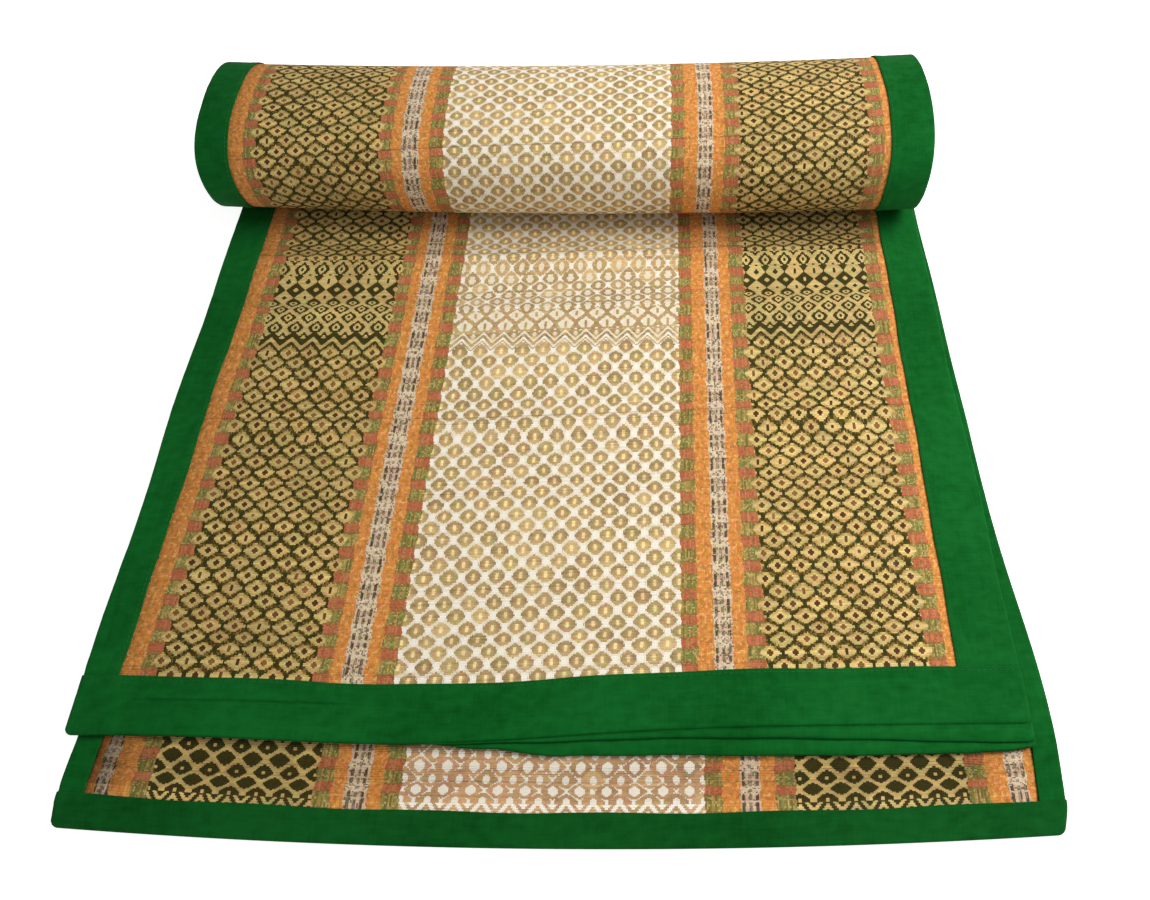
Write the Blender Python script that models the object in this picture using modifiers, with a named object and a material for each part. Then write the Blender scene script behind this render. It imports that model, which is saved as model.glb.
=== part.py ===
"""Grass floor mat, folded double across its length and rolled once from the fold.

The mat is a long reed and cotton weave with a cloth binding sewn round all four edges.
It lies with its face outwards: the upper layer's face looks up, the lower layer shows its
reverse where it reaches further forward, and the roll at the back shows the lower half's face.

Every piece is a thin sheet modelled flat and then laid along the mat's folded and rolled line.
Flat places are given as across (metres to the right of the weave's centre), along (metres from
the upper end, over the fold, to the lower end) and out (metres to the face side).
Metres, +Z up, +Y towards the roll, origin on the floor under the middle of the footprint.
"""

import functools
import math

import bpy
import bmesh
import numpy as np
from mathutils import Vector

# The mat laid out flat
MAT_WIDTH = 0.600
MAT_LENGTH = 1.800
WEAVE_THICKNESS = 0.0018
CLOTH_THICKNESS = 0.0010
SEWN_GAP = 0.0003
EDGE_CLEARANCE = 0.0004

# Widths of the cloth binding, and where the weave's face starts beside it
END_FACE_WIDTH = 0.0360
UPPER_END_REVERSE_WIDTH = 0.0165
LOWER_END_REVERSE_WIDTH = 0.0190
SIDE_REVERSE_WIDTH = 0.0165
LEFT_FACE_EDGE = -0.2743
RIGHT_FACE_EDGE = 0.2612

# Half the height of a bound edge, and the middle of its cloth, from the middle of the weave
CLOTH_MIDDLE = WEAVE_THICKNESS / 2 + SEWN_GAP + CLOTH_THICKNESS / 2
BOUND_HALF = CLOTH_MIDDLE + CLOTH_THICKNESS / 2
WEAVE_INSET = BOUND_HALF + EDGE_CLEARANCE

# The footprint's middle, to the right of the weave's centre in the upper layer
FOOTPRINT_MIDDLE_X = 0.0026

# The two layers lying on each other
LAYER_GAP = 0.0004
HALF_SPACING = BOUND_HALF + LAYER_GAP / 2
DOUBLE_HALF = HALF_SPACING + BOUND_HALF
TURN_SPACING = 2 * DOUBLE_HALF + LAYER_GAP

# Front ends of the two layers, in Y
UPPER_END_Y = -0.2514
UPPER_END_SLANT = 0.010
UPPER_END_BULGE = 0.0080
UPPER_END_BULGE_X = -0.075
UPPER_END_BULGE_REACH = 0.120
LOWER_END_Y = -0.3174
LOWER_END_BOW = 0.0095
LOWER_END_BOW_X = 0.030

# The roll: an oval that takes a little more room at its right end and bows forward in the middle
ROLL_CENTRE_Y = 0.2391
ROLL_HEIGHT = 0.0953
ROLL_DEPTH = 0.1478
ROLL_RIGHT_GROWTH = 0.032
ROLL_BOW = 0.0087
ROLL_SQUARENESS = 0.037
FOLD_RADIUS = 0.0042
FOLD_SWELL_LENGTH = 0.045
FOLD_STEPS = 24
LONGEST_TURN = 2 * math.pi + 1.5

# Gentle rise and fall of the upper layer between its end and the roll
WAVE_HEIGHT = 0.0012
WAVE_LENGTH = 0.210
WAVE_SLANT = 0.55

# Drift of the mat along its length. Columns: share of the length, shift of the weave to the
# right, stray of both bound edges to the right, and spread of both bound edges outwards.
WEAVE_SHIFT, EDGE_STRAY, EDGE_SPREAD = 1, 2, 3
DRIFT = (
    (0.000, 0.0000, 0.0020, 0.0000),
    (0.230, 0.0000, -0.0045, 0.0000),
    (0.320, -0.0075, -0.0035, 0.0000),
    (0.370, -0.0060, -0.0030, 0.0000),
    (0.475, -0.0090, -0.0030, 0.0000),
    (0.580, -0.0060, -0.0030, 0.0000),
    (0.630, -0.0075, -0.0030, 0.0000),
    (0.720, -0.0010, 0.0000, 0.0000),
    (0.850, 0.0040, -0.0005, 0.0010),
    (0.970, 0.0138, -0.0008, 0.0042),
    (0.990, 0.0134, -0.0015, 0.0038),
    (1.000, 0.0130, -0.0020, 0.0005),
)

# Loose lip of the upper end's binding. Columns: place across the mat, and how far the lip
# stands forward there.
LIP_REACH = 1
LIP = (
    (-0.300, 0.0000),
    (-0.110, 0.0000),
    (-0.050, 0.0045),
    (0.020, 0.0100),
    (0.130, 0.0124),
    (0.300, 0.0145),
)

# Section of the lip, each point as (distance in from the edge, out)
LIP_FORMS_BY = 0.006
LIP_TOP = -0.00040
LIP_SHOULDER = (0.0009, 0.0013)
LIP_GROOVE = (0.0002, 0.0003)
LIP_CREST_SHARE = 0.30
LIP_TIP_LENGTH = 0.0009

# Half the height of the cloth's middle where an end's binding is pinched shut at a corner
PINCHED_RADIUS = (CLOTH_THICKNESS + SEWN_GAP) / 2

# Outward flutter of the side bindings
FLUTTER = 0.0012
FLUTTER_LENGTH = 0.170

# How closely the sheets are divided
STEP_LENGTH = 0.036
STEP_TURN = math.radians(17)
LINE_STEP = 0.004
TURN_STEP = math.radians(1.5)
ROWS_PER_LAYER = 54
WEAVE_COLUMNS = 8
WEAVE_COLUMNS_START = 0.011
END_COLUMNS = 18
SIDE_BEND_STEPS = 4
END_BEND_STEPS = 6
END_ZONE = 0.120

GREEN = (0.004, 0.082, 0.018, 1.0)
STRAW = (0.42, 0.30, 0.12, 1.0)


def smooth(value):
    """Ease from 0 to 1, for a number or an array."""
    value = np.clip(value, 0.0, 1.0)
    return value * value * (3 - 2 * value)


def from_table(rows, key, column):
    """Read one column of a table of rows at key, eased between the rows."""
    if key <= rows[0][0]:
        return rows[0][column]
    for low, high in zip(rows, rows[1:]):
        if key <= high[0]:
            share = smooth((key - low[0]) / (high[0] - low[0]))
            return low[column] + (high[column] - low[column]) * share
    return rows[-1][column]


def upper_end_y(across):
    """Front edge of the upper layer, which bulges forward left of the middle."""
    bulge = math.exp(-((across - UPPER_END_BULGE_X) / UPPER_END_BULGE_REACH) ** 2)
    return UPPER_END_Y + UPPER_END_SLANT * across - UPPER_END_BULGE * bulge


def lower_end_y(across):
    """Front edge of the lower layer, bowed forward in the middle."""
    share = (across - LOWER_END_BOW_X) / (MAT_WIDTH / 2)
    return LOWER_END_Y + LOWER_END_BOW * share * share


def roll_turn(across, angles):
    """Middle line between the layers in the roll, as YZ points.

    The angle starts under the roll, goes up its back, over its top, down its front and on
    inside.
    """
    share = across / (MAT_WIDTH / 2)
    growth = 1 + ROLL_RIGHT_GROWTH * share
    centre_y = ROLL_CENTRE_Y - ROLL_BOW * (1 - share * share)
    top_z = ROLL_HEIGHT * growth - DOUBLE_HALF
    centre_z = (top_z + DOUBLE_HALF + TURN_SPACING / 2) / 2
    inward = TURN_SPACING * angles / (2 * math.pi)
    half_depth = ROLL_DEPTH * growth / 2 - inward
    half_height = centre_z - DOUBLE_HALF - inward
    square = ROLL_SQUARENESS
    y = centre_y + half_depth * (np.sin(angles) + square * np.sin(3 * angles)) / (1 - square)
    z = centre_z - half_height * (np.cos(angles) - square * np.cos(3 * angles)) / (1 - square)
    return np.column_stack((y, z))


def line_normals(points):
    """Unit normals of a line in the YZ plane, to the left of its direction."""
    tangent = np.gradient(points, axis=0)
    tangent /= np.linalg.norm(tangent, axis=1)[:, None]
    return np.column_stack((-tangent[:, 1], tangent[:, 0]))


def line_lengths(points):
    """Distance along a line at each of its points."""
    steps = np.linalg.norm(np.diff(points, axis=0), axis=1)
    return np.concatenate(([0.0], np.cumsum(steps)))


def upper_wave(across, y, end_y):
    """Height that the upper layer stands proud of lying flat."""
    share = (y - end_y) / (ROLL_CENTRE_Y - ROLL_DEPTH / 2 - end_y)
    window = math.sin(math.pi * min(max(share, 0.0), 1.0)) ** 2
    phase = 2 * math.pi * (y + WAVE_SLANT * across) / WAVE_LENGTH
    return WAVE_HEIGHT * window * (1 + math.sin(phase)) / 2


def flat_part(across, end_y, height, waves):
    """A layer's middle line on the floor, from its front end to under the roll."""
    share = across / (MAT_WIDTH / 2)
    stop = ROLL_CENTRE_Y - ROLL_BOW * (1 - share * share)
    count = round((stop - end_y) / LINE_STEP)
    rows = []
    for step in range(count):
        y = end_y + (stop - end_y) * step / count
        lift = upper_wave(across, y, end_y) if waves else 0.0
        rows.append((y, height + lift))
    return np.array(rows)


@functools.lru_cache(maxsize=None)
def mat_line(across):
    """The mat's middle line in YZ at one place across it, its lengths, normals and fold."""
    upper_flat = flat_part(across, upper_end_y(across), DOUBLE_HALF + HALF_SPACING, True)
    lower_flat = flat_part(across, lower_end_y(across), DOUBLE_HALF - HALF_SPACING, False)
    angles = np.arange(0.0, LONGEST_TURN, TURN_STEP)
    middle = roll_turn(across, angles)
    normals = line_normals(middle)
    inner = line_lengths(np.vstack((upper_flat, middle + HALF_SPACING * normals)))
    outer = line_lengths(np.vstack((lower_flat, middle - HALF_SPACING * normals)))
    total = inner[len(upper_flat):] + outer[len(lower_flat):] + math.pi * FOLD_RADIUS
    last = float(np.interp(MAT_LENGTH, total, angles))
    angles = np.append(angles[angles < last - TURN_STEP / 2], last)
    middle = roll_turn(across, angles)
    normals = line_normals(middle)
    from_fold = line_lengths(middle)[-1] - line_lengths(middle)
    swell = 2 * (FOLD_RADIUS - HALF_SPACING) * smooth(1 - from_fold / FOLD_SWELL_LENGTH)
    inner = middle + (HALF_SPACING + swell)[:, None] * normals
    outer = middle - HALF_SPACING * normals
    tangent = np.array((normals[-1][1], -normals[-1][0]))
    bends = np.linspace(0, math.pi, FOLD_STEPS + 1)[1:-1, None]
    centre = outer[-1] + FOLD_RADIUS * normals[-1]
    bend = centre + FOLD_RADIUS * (np.cos(bends) * normals[-1] + np.sin(bends) * tangent)
    points = np.vstack((upper_flat, inner, bend, outer[::-1], lower_flat[::-1]))
    lengths = line_lengths(points)
    lengths *= MAT_LENGTH / lengths[-1]
    fold = lengths[len(upper_flat) + len(inner) + len(bend) // 2]
    return points, lengths, line_normals(points), fold


@functools.lru_cache(maxsize=None)
def rows_along(across):
    """Places along the mat where its sheets are divided, closer together where it bends."""
    points, lengths, normals, fold = mat_line(across)
    facing = np.unwrap(np.arctan2(normals[:, 1], normals[:, 0]))
    cost = np.concatenate(([0.0], np.cumsum(np.abs(np.diff(facing)) / STEP_TURN)))
    cost += lengths / STEP_LENGTH
    at_fold = np.interp(fold, lengths, cost)
    upper = np.linspace(0.0, at_fold, ROWS_PER_LAYER + 1)
    lower = np.linspace(at_fold, cost[-1], ROWS_PER_LAYER + 1)
    return np.interp(np.concatenate((upper, lower[1:])), cost, lengths)


def row_along(across, row):
    """Place along the mat of one of the rows that divide it."""
    return float(rows_along(round(across, 5))[row])


def lay(across, along, out):
    """Point of the mat in space, from its place on the mat laid out flat."""
    points, lengths, normals, fold = mat_line(round(across, 5))
    y = np.interp(along, lengths, points[:, 0])
    z = np.interp(along, lengths, points[:, 1])
    normal_y = np.interp(along, lengths, normals[:, 0])
    normal_z = np.interp(along, lengths, normals[:, 1])
    size = math.hypot(normal_y, normal_z)
    y += min(along, 0.0) - max(along - MAT_LENGTH, 0.0)
    x = across + from_table(DRIFT, along / MAT_LENGTH, WEAVE_SHIFT) - FOOTPRINT_MIDDLE_X
    return Vector((x, y + out * normal_y / size, z + out * normal_z / size))


def edge_stray(along):
    """How far the bound edges stray to the right of their place beside the weave."""
    return from_table(DRIFT, along / MAT_LENGTH, EDGE_STRAY)


def edge_spread(along):
    """How far each bound edge stands further out than half the mat's width."""
    return from_table(DRIFT, along / MAT_LENGTH, EDGE_SPREAD)


def new_material(name, colour, roughness):
    """Plain Principled material in one colour."""
    material = bpy.data.materials.new(name)
    material.use_nodes = True
    shader = material.node_tree.nodes["Principled BSDF"]
    shader.inputs["Base Color"].default_value = colour
    shader.inputs["Roughness"].default_value = roughness
    shader.inputs["Metallic"].default_value = 0.0
    material.diffuse_color = colour
    return material


def sheet(name, cells, place, thickness, material, collection):
    """A grid of cells laid in space by place(column, row), then thickened."""
    columns, rows = cells
    bm = bmesh.new()
    bmesh.ops.create_grid(bm, x_segments=columns, y_segments=rows, size=1.0)
    for vertex in bm.verts:
        column = round((vertex.co.x + 1) / 2 * columns)
        row = round((vertex.co.y + 1) / 2 * rows)
        vertex.co = place(column, row)
    mesh = bpy.data.meshes.new(name)
    bm.to_mesh(mesh)
    bm.free()
    mesh.materials.append(material)
    mesh.shade_smooth()
    piece = bpy.data.objects.new(name, mesh)
    collection.objects.link(piece)
    solid = piece.modifiers.new("thickness", "SOLIDIFY")
    solid.thickness = thickness
    solid.offset = 0.0
    solid.use_even_offset = True
    return piece


def between(along, first, last):
    """Shift a place near the mat's ends so that a piece starts at first and stops at last."""
    if along < END_ZONE:
        return first + along * (END_ZONE - first) / END_ZONE
    from_end = MAT_LENGTH - along
    if from_end < END_ZONE:
        return MAT_LENGTH - last - from_end * (END_ZONE - last) / END_ZONE
    return along


def woven_panel(material, collection):
    """The reed weave: one sheet from end to end, inside the bindings at its edges."""
    half = MAT_WIDTH / 2 - WEAVE_INSET - FLUTTER
    left = LEFT_FACE_EDGE + WEAVE_COLUMNS_START
    right = RIGHT_FACE_EDGE - WEAVE_COLUMNS_START
    places = [-half, *np.linspace(left, right, WEAVE_COLUMNS - 1), half]

    def place(column, row):
        across = float(places[column])
        along = between(row_along(across, row), WEAVE_INSET, WEAVE_INSET)
        if column in (0, WEAVE_COLUMNS):
            across += edge_stray(along)
        return lay(across, along, 0.0)

    cells = (WEAVE_COLUMNS, 2 * ROWS_PER_LAYER)
    return sheet("woven_panel", cells, place, WEAVE_THICKNESS, material, collection)


def bend_section(face, reverse, radius, steps):
    """Section of a binding round an edge: (distance in from the edge, out) for each point."""
    section = [(face, radius)]
    for step in range(steps + 1):
        angle = math.pi / 2 - math.pi * step / steps
        inset = CLOTH_THICKNESS / 2 + radius * (1 - math.cos(angle))
        section.append((inset, radius * math.sin(angle)))
    section.append((reverse, -radius))
    return section


def side_binding(name, side, material, collection):
    """Cloth strip round one long side, between the bindings of the two ends."""
    face_edge = abs(LEFT_FACE_EDGE if side < 0 else RIGHT_FACE_EDGE)
    points = SIDE_BEND_STEPS + 3

    def place(column, row):
        near = row_along(side * MAT_WIDTH / 2, row)
        edge = MAT_WIDTH / 2 + side * edge_stray(near) + edge_spread(near)
        edge += FLUTTER * (math.sin(2 * math.pi * near / FLUTTER_LENGTH + side) - 1) / 2
        section = bend_section(edge - face_edge, SIDE_REVERSE_WIDTH, CLOTH_MIDDLE, SIDE_BEND_STEPS)
        inset, out = section[column]
        across = side * (edge - inset)
        under = column > SIDE_BEND_STEPS
        first = (UPPER_END_REVERSE_WIDTH if under else END_FACE_WIDTH) + SEWN_GAP
        last = (LOWER_END_REVERSE_WIDTH if under else END_FACE_WIDTH) + SEWN_GAP
        return lay(across, between(row_along(across, row), first, last), out)

    cells = (points - 1, 2 * ROWS_PER_LAYER)
    return sheet(name, cells, place, CLOTH_THICKNESS, material, collection)


def lip_section(reach):
    """Section of an end's binding that runs out into a loose flat lip of this reach."""
    return [
        (END_FACE_WIDTH, CLOTH_MIDDLE),
        (BOUND_HALF, CLOTH_MIDDLE),
        LIP_SHOULDER,
        LIP_GROOVE,
        (-LIP_CREST_SHARE * reach, LIP_TOP),
        (-reach + LIP_TIP_LENGTH, LIP_TOP),
        (-reach, (LIP_TOP - CLOTH_MIDDLE) / 2),
        (-reach + LIP_TIP_LENGTH, -CLOTH_MIDDLE),
        (UPPER_END_REVERSE_WIDTH, -CLOTH_MIDDLE),
    ]


def end_binding(name, upper, material, collection):
    """Cloth strip round one short end, over its full width, pinched shut at the corners."""
    pinch = WEAVE_INSET / MAT_WIDTH
    places = [0.0, *np.linspace(pinch, 1 - pinch, END_COLUMNS - 1), 1.0]
    reverse = UPPER_END_REVERSE_WIDTH if upper else LOWER_END_REVERSE_WIDTH
    points = END_BEND_STEPS + 3

    def place(column, row):
        corner = column in (0, END_COLUMNS)
        radius = PINCHED_RADIUS if corner else CLOTH_MIDDLE
        inset, out = bend_section(END_FACE_WIDTH, reverse, radius, END_BEND_STEPS)[row]
        reach = from_table(LIP, (places[column] - 0.5) * MAT_WIDTH, LIP_REACH) if upper else 0.0
        forms = smooth(reach / LIP_FORMS_BY)
        lip_inset, lip_out = lip_section(reach)[row]
        inset += (lip_inset - inset) * forms
        out += (lip_out - out) * forms
        if corner:
            out = min(out, radius + (LIP_TOP - radius) * forms)
        along = inset if upper else MAT_LENGTH - inset
        width = MAT_WIDTH + 2 * edge_spread(along)
        across = width * (float(places[column]) - 0.5) + edge_stray(along)
        return lay(across, along, out)

    cells = (END_COLUMNS, points - 1)
    return sheet(name, cells, place, CLOTH_THICKNESS, material, collection)


def build():
    """Model the mat's five sewn pieces."""
    for item in list(bpy.data.objects):
        bpy.data.objects.remove(item, do_unlink=True)
    collection = bpy.data.collections.new("grass_floor_mat")
    bpy.context.scene.collection.children.link(collection)
    weave = new_material("reed_weave", STRAW, 0.75)
    cloth = new_material("binding_cloth", GREEN, 0.85)
    woven_panel(weave, collection)
    side_binding("binding_left", -1, cloth, collection)
    side_binding("binding_right", 1, cloth, collection)
    end_binding("binding_upper_end", True, cloth, collection)
    end_binding("binding_lower_end", False, cloth, collection)


build()
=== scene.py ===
"""Grass floor mat, folded double and rolled from the fold: weave, bindings, seams and studio.

Flat places are given as across (metres to the right of the weave's centre), along (metres
from the upper end, over the fold, to the lower end) and out (metres to the face side).
"""

import functools
import math
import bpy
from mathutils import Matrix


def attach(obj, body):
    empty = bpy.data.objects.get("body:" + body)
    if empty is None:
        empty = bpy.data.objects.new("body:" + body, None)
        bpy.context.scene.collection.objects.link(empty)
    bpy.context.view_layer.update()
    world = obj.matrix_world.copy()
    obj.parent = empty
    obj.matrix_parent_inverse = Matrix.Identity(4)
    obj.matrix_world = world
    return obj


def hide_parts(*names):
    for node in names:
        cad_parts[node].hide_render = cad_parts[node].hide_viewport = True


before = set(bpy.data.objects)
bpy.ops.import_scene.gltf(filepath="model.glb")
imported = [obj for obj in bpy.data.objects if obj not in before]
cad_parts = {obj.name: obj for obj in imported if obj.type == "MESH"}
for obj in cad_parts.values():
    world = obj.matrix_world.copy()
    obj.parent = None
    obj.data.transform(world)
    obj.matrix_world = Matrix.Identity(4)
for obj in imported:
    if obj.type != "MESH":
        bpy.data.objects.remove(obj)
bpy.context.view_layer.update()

from types import SimpleNamespace

import bmesh
import bpy
import numpy as np
from bpy.props import FloatProperty, FloatVectorProperty, PointerProperty

bl_info = {
    "name": "Grass Floor Mat",
    "version": (1, 0, 0),
    "blender": (4, 5, 0),
    "location": "View3D > Sidebar > Mat",
    "description": "Dresses a folded and rolled reed mat with its weave, bindings and seams",
    "category": "Object",
}

BODY = "root"

# The mat laid out flat, as its solids are
MAT_WIDTH = 0.600
MAT_LENGTH = 1.800
WEAVE_THICKNESS = 0.0018
CLOTH_LAYER = 0.0010
SEWN_GAP = 0.0003
EDGE_CLEARANCE = 0.0004
END_FACE_WIDTH = 0.0360
UPPER_END_REVERSE_WIDTH = 0.0165
LOWER_END_REVERSE_WIDTH = 0.0190
SIDE_REVERSE_WIDTH = 0.0165
LEFT_FACE_EDGE = -0.2743
RIGHT_FACE_EDGE = 0.2612
BOUND_HALF = WEAVE_THICKNESS / 2 + SEWN_GAP + CLOTH_LAYER
WEAVE_INSET = BOUND_HALF + EDGE_CLEARANCE
FOOTPRINT_MIDDLE_X = 0.0026

# The two layers lying on each other
LAYER_GAP = 0.0004
HALF_SPACING = BOUND_HALF + LAYER_GAP / 2
DOUBLE_HALF = HALF_SPACING + BOUND_HALF
TURN_SPACING = 2 * DOUBLE_HALF + LAYER_GAP

# Front ends of the two layers
UPPER_END_Y = -0.2514
UPPER_END_SLANT = 0.010
UPPER_END_BULGE = 0.0080
UPPER_END_BULGE_X = -0.075
UPPER_END_BULGE_REACH = 0.120
LOWER_END_Y = -0.3174
LOWER_END_BOW = 0.0095
LOWER_END_BOW_X = 0.030

# The roll
ROLL_CENTRE_Y = 0.2391
ROLL_HEIGHT = 0.0953
ROLL_DEPTH = 0.1478
ROLL_RIGHT_GROWTH = 0.032
ROLL_BOW = 0.0087
ROLL_SQUARENESS = 0.037
FOLD_RADIUS = 0.0042
FOLD_SWELL_LENGTH = 0.045
FOLD_STEPS = 24
LONGEST_TURN = 2 * math.pi + 1.5

# Gentle rise and fall of the upper layer
WAVE_HEIGHT = 0.0012
WAVE_LENGTH = 0.210
WAVE_SLANT = 0.55

# Drift of the mat along its length. Columns: share of the length, shift of the weave to the
# right, stray of both bound edges to the right, and spread of both bound edges outwards.
WEAVE_SHIFT, EDGE_STRAY, EDGE_SPREAD = 1, 2, 3
DRIFT = (
    (0.000, 0.0000, 0.0020, 0.0000),
    (0.230, 0.0000, -0.0045, 0.0000),
    (0.320, -0.0075, -0.0035, 0.0000),
    (0.370, -0.0060, -0.0030, 0.0000),
    (0.475, -0.0090, -0.0030, 0.0000),
    (0.580, -0.0060, -0.0030, 0.0000),
    (0.630, -0.0075, -0.0030, 0.0000),
    (0.720, -0.0010, 0.0000, 0.0000),
    (0.850, 0.0040, -0.0005, 0.0010),
    (0.970, 0.0138, -0.0008, 0.0042),
    (0.990, 0.0134, -0.0015, 0.0038),
    (1.000, 0.0130, -0.0020, 0.0005),
)
FLUTTER = 0.0012
FLUTTER_LENGTH = 0.170

# How closely the form is tabulated
FORM_REACH = 0.315
FORM_LINES = 43
FORM_STEPS = 1800
LINE_STEP = 0.004
TURN_STEP = math.radians(1.5)

# The reed weave: how many threads to a figure and reeds to half of one, and its relief
FIGURE_WIDTH = 0.0165
THREADS = 16
REEDS = 8
REED_ROWS = 3
WEAVE_BODY = 0.00155
REED_RELIEF = 0.00022
INNER_COLUMNS = (-0.263, -0.200, -0.146, -0.090, 0.020, 0.130, 0.190, 0.250)
FIGURE_OVERLAP = 0.0038
SCALLOP = 0.0005
ROW_UNEVENNESS = 0.09
ROW_SEED = 7
USUAL_ROW = 0.00875

# Forms in a figure. Half width as a share of a figure's width, half height in rows, and
# roundness across and along.
DARK_FIGURE = (0.46, 0.60, 1.15, 1.0)
CREAM_FIGURE = (0.36, 0.63, 1.4, 1.4)
DARK_DOT = (0.13, 0.28, 1.3, 1.3)
CREAM_DOT = (0.10, 0.24, 1.3, 1.3)
TURNED_DARK = (0.41, 0.70, 1.05, 1.05)
TURNED_GLINT = (0.08, 0.20, 1.2, 1.2)
WHITE_OVAL = (0.17, 0.44, 1.6, 1.6)
REVERSE_OVAL = (0.20, 0.48, 1.6, 1.6)

# Where the turned figure's lines start, on the scale of the forms above: thread between the
# pale ovals, reeds between the line rows' diamonds, and the ring of reeds inside a dark diamond.
# The last two multiply the forms on the reverse and on the face: above 1 they are smaller.
THIN_LATTICE = 1.18
THIN_LINES = 1.00
EYE_RING = (0.30, 0.60)
REVERSE_LATTICE = 0.86
FACE_LATTICE = 1.03

# Unevenness of the figures' size and of their edges, and strength of the threads' flecks
SIZE_UNEVENNESS = 0.10
EDGE_RAGGEDNESS = 0.08
FLECK = 0.28

# Share of each block's row that is red, half the share of the dark edge beside it, and how much
# straw shows through the blocks
RED_SHARE = 0.45
BLOCK_EDGE = 0.06
BLOCK_BLEND = 0.18

# Dark lines of the grey stripes. In figure widths from a figure's middle: the outer line's two
# edges and the middle line's one. In shares of the way from one row to the next: the start and
# end of their dashes, and the end of the marks on the middle line.
OUTER_LINE = (0.185, 0.315)
MIDDLE_LINE = 0.06
DASH = (0.42, 0.93)
MARK = 0.14

# From across, to across, and the painted shade of the weave at each: the left panel is painted a
# little darker, where less light reaches it
LEFT_PAINTED_SHADE = (-0.200, -0.120, 0.88, 1.0)
# The right panel is painted a little darker over these places across and rows, down to this shade:
# painted shade where less light reaches it close to the roll
RIGHT_PAINTED_SHADE_ACROSS = (0.120, 0.160)
RIGHT_PAINTED_SHADE_ROWS = (12.0, 34.0)
RIGHT_PAINTED_SHADE = 0.85
# Painted light on the pale panel's reeds close to the roll, lifting them out of the shade under it:
# over which rows it starts and ends
ROLL_PAINTED_LIGHT_FROM_ROWS = (36.0, 39.0)
ROLL_PAINTED_LIGHT_TO_ROWS = (46.0, 50.0)
ROLL_PAINTED_LIGHT = 1.2

# Darker reeds laid in across the whole weave. Columns: row, and half width in rows.
DARK_REEDS = (
    (21.70, 0.07),
    (38.60, 0.10),
    (110.40, 0.08),
    (199.15, 0.10),
)

# Rows of the figure along the mat. Columns: place along, and rows counted from the first
# full row of figures that the upper end's binding leaves bare. Rows that the photo shows one by
# one, up to the roll, keep their places, and the others are a little uneven.
ROW_COUNT = 1
CHARTED_TO = 0.44
ROWS = (
    (0.0000, -3.0),
    (0.0380, 0.0),
    (0.0555, 2.0),
    (0.0705, 4.0),
    (0.0880, 6.0),
    (0.1065, 8.0),
    (0.1250, 10.0),
    (0.1435, 12.0),
    (0.1610, 14.0),
    (0.1780, 16.0),
    (0.1960, 18.0),
    (0.2155, 20.0),
    (0.2290, 21.0),
    (0.2370, 22.0),
    (0.2455, 23.0),
    (0.2545, 24.0),
    (0.2660, 25.0),
    (0.2765, 26.0),
    (0.2870, 27.0),
    (0.2960, 28.0),
    (0.3220, 30.0),
    (0.3325, 31.0),
    (0.3410, 32.0),
    (0.3530, 34.0),
    (0.3700, 36.0),
    (0.3840, 37.0),
    (0.3975, 38.0),
    (0.4140, 41.0),
    (0.4400, 44.0),
    (0.9400, 102.0),
    (1.1200, 124.0),
    (1.7488, 197.0),
    (1.7554, 198.0),
    (1.7633, 199.0),
    (1.7691, 200.0),
    (1.7749, 201.0),
    (1.8000, 203.0),
)

# The band where the weaver turned the figure over: its places along, the length of one of its
# rows, the start of the like band at the end, and the rows of its chequer and of its lines
BAND_START = 0.2960
BAND_END = 0.3940
BAND_ROW = 0.0095
END_BAND_START = 1.7762
OUTSIDE_BAND = -10.0
CHEQUER_ROWS = (33.2, 36.5)
LINE_ROWS = (29.5, 31.6)

# The zigzag between the plain figure and the turned one, counted in band rows: where it starts
# and ends, its light line in the dark panels, and its two white lines in the pale panel
ZIGZAG = (1.05, 2.40)
LIGHT_LINE = (1.30, 1.75)
FIRST_WHITE_LINE = (1.20, 1.50)
SECOND_WHITE_LINE = (1.85, 2.10)
# Chevrons at the end of the reverse: how many to a band row, and the share that is thread
CHEVRONS = 1.45
CHEVRON_THREAD = 0.54

# How far the rows climb at the far end of the flat part, by place across, and between which
# places along the climb fades
SKEW_FULL_ALONG = 0.300
SKEW_FADES = (1.00, 1.30)
SKEW = (
    (-0.300, -0.0075),
    (-0.250, -0.0065),
    (-0.146, -0.0015),
    (-0.090, 0.0000),
    (0.130, 0.0000),
    (0.200, 0.0008),
    (0.300, 0.0030),
)

# Stripes of the weave from left to right, each from its left edge
DARK, CREAM, ORANGE, BLOCKS, GREY = range(5)
STRIPES = (
    (-0.3000, ORANGE),
    (-0.2835, GREY),
    (-0.2750, ORANGE),
    (-0.2620, BLOCKS),
    (-0.2513, DARK),
    (-0.1511, BLOCKS),
    (-0.1404, ORANGE),
    (-0.1324, GREY),
    (-0.1185, ORANGE),
    (-0.1099, BLOCKS),
    (-0.0987, CREAM),
    (0.0845, BLOCKS),
    (0.0952, ORANGE),
    (0.1059, GREY),
    (0.1182, ORANGE),
    (0.1273, BLOCKS),
    (0.1396, DARK),
    (0.2435, BLOCKS),
    (0.2558, ORANGE),
    (0.2680, GREY),
    (0.2800, ORANGE),
)

# Cloth of the bindings: its thickness and the heights of its plies from the weave's middle
CLOTH = 0.00040
UNDER_PLY = 0.00138
UPPER_PLY = 0.00186
BARE_PLY = 0.00162
HEM = 0.0058
HEM_BEND = 0.00024
BEND_STEPS = 14
SIDE_STEPS = 9
END_STEPS = 40
SIDE_ROW = 0.0034
END_COLUMN = 0.0033
SIDE_LAP = 0.0050
LAP_INSET = 0.0005
LAP_RISE = 0.00072
LAP_HEM_RISE = 0.00022
LAP_PRESS = 0.00045
LAP_EASE = 0.0050
CORNER_RADIUS = 0.0045
CLOSED_SHARE = 0.03
EDGE_WANDER = 0.0004
SIDE_WANDER_TURNS = (47, 113)
SECOND_WANDER = 0.6
END_WANDER_TURNS = 61
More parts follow.
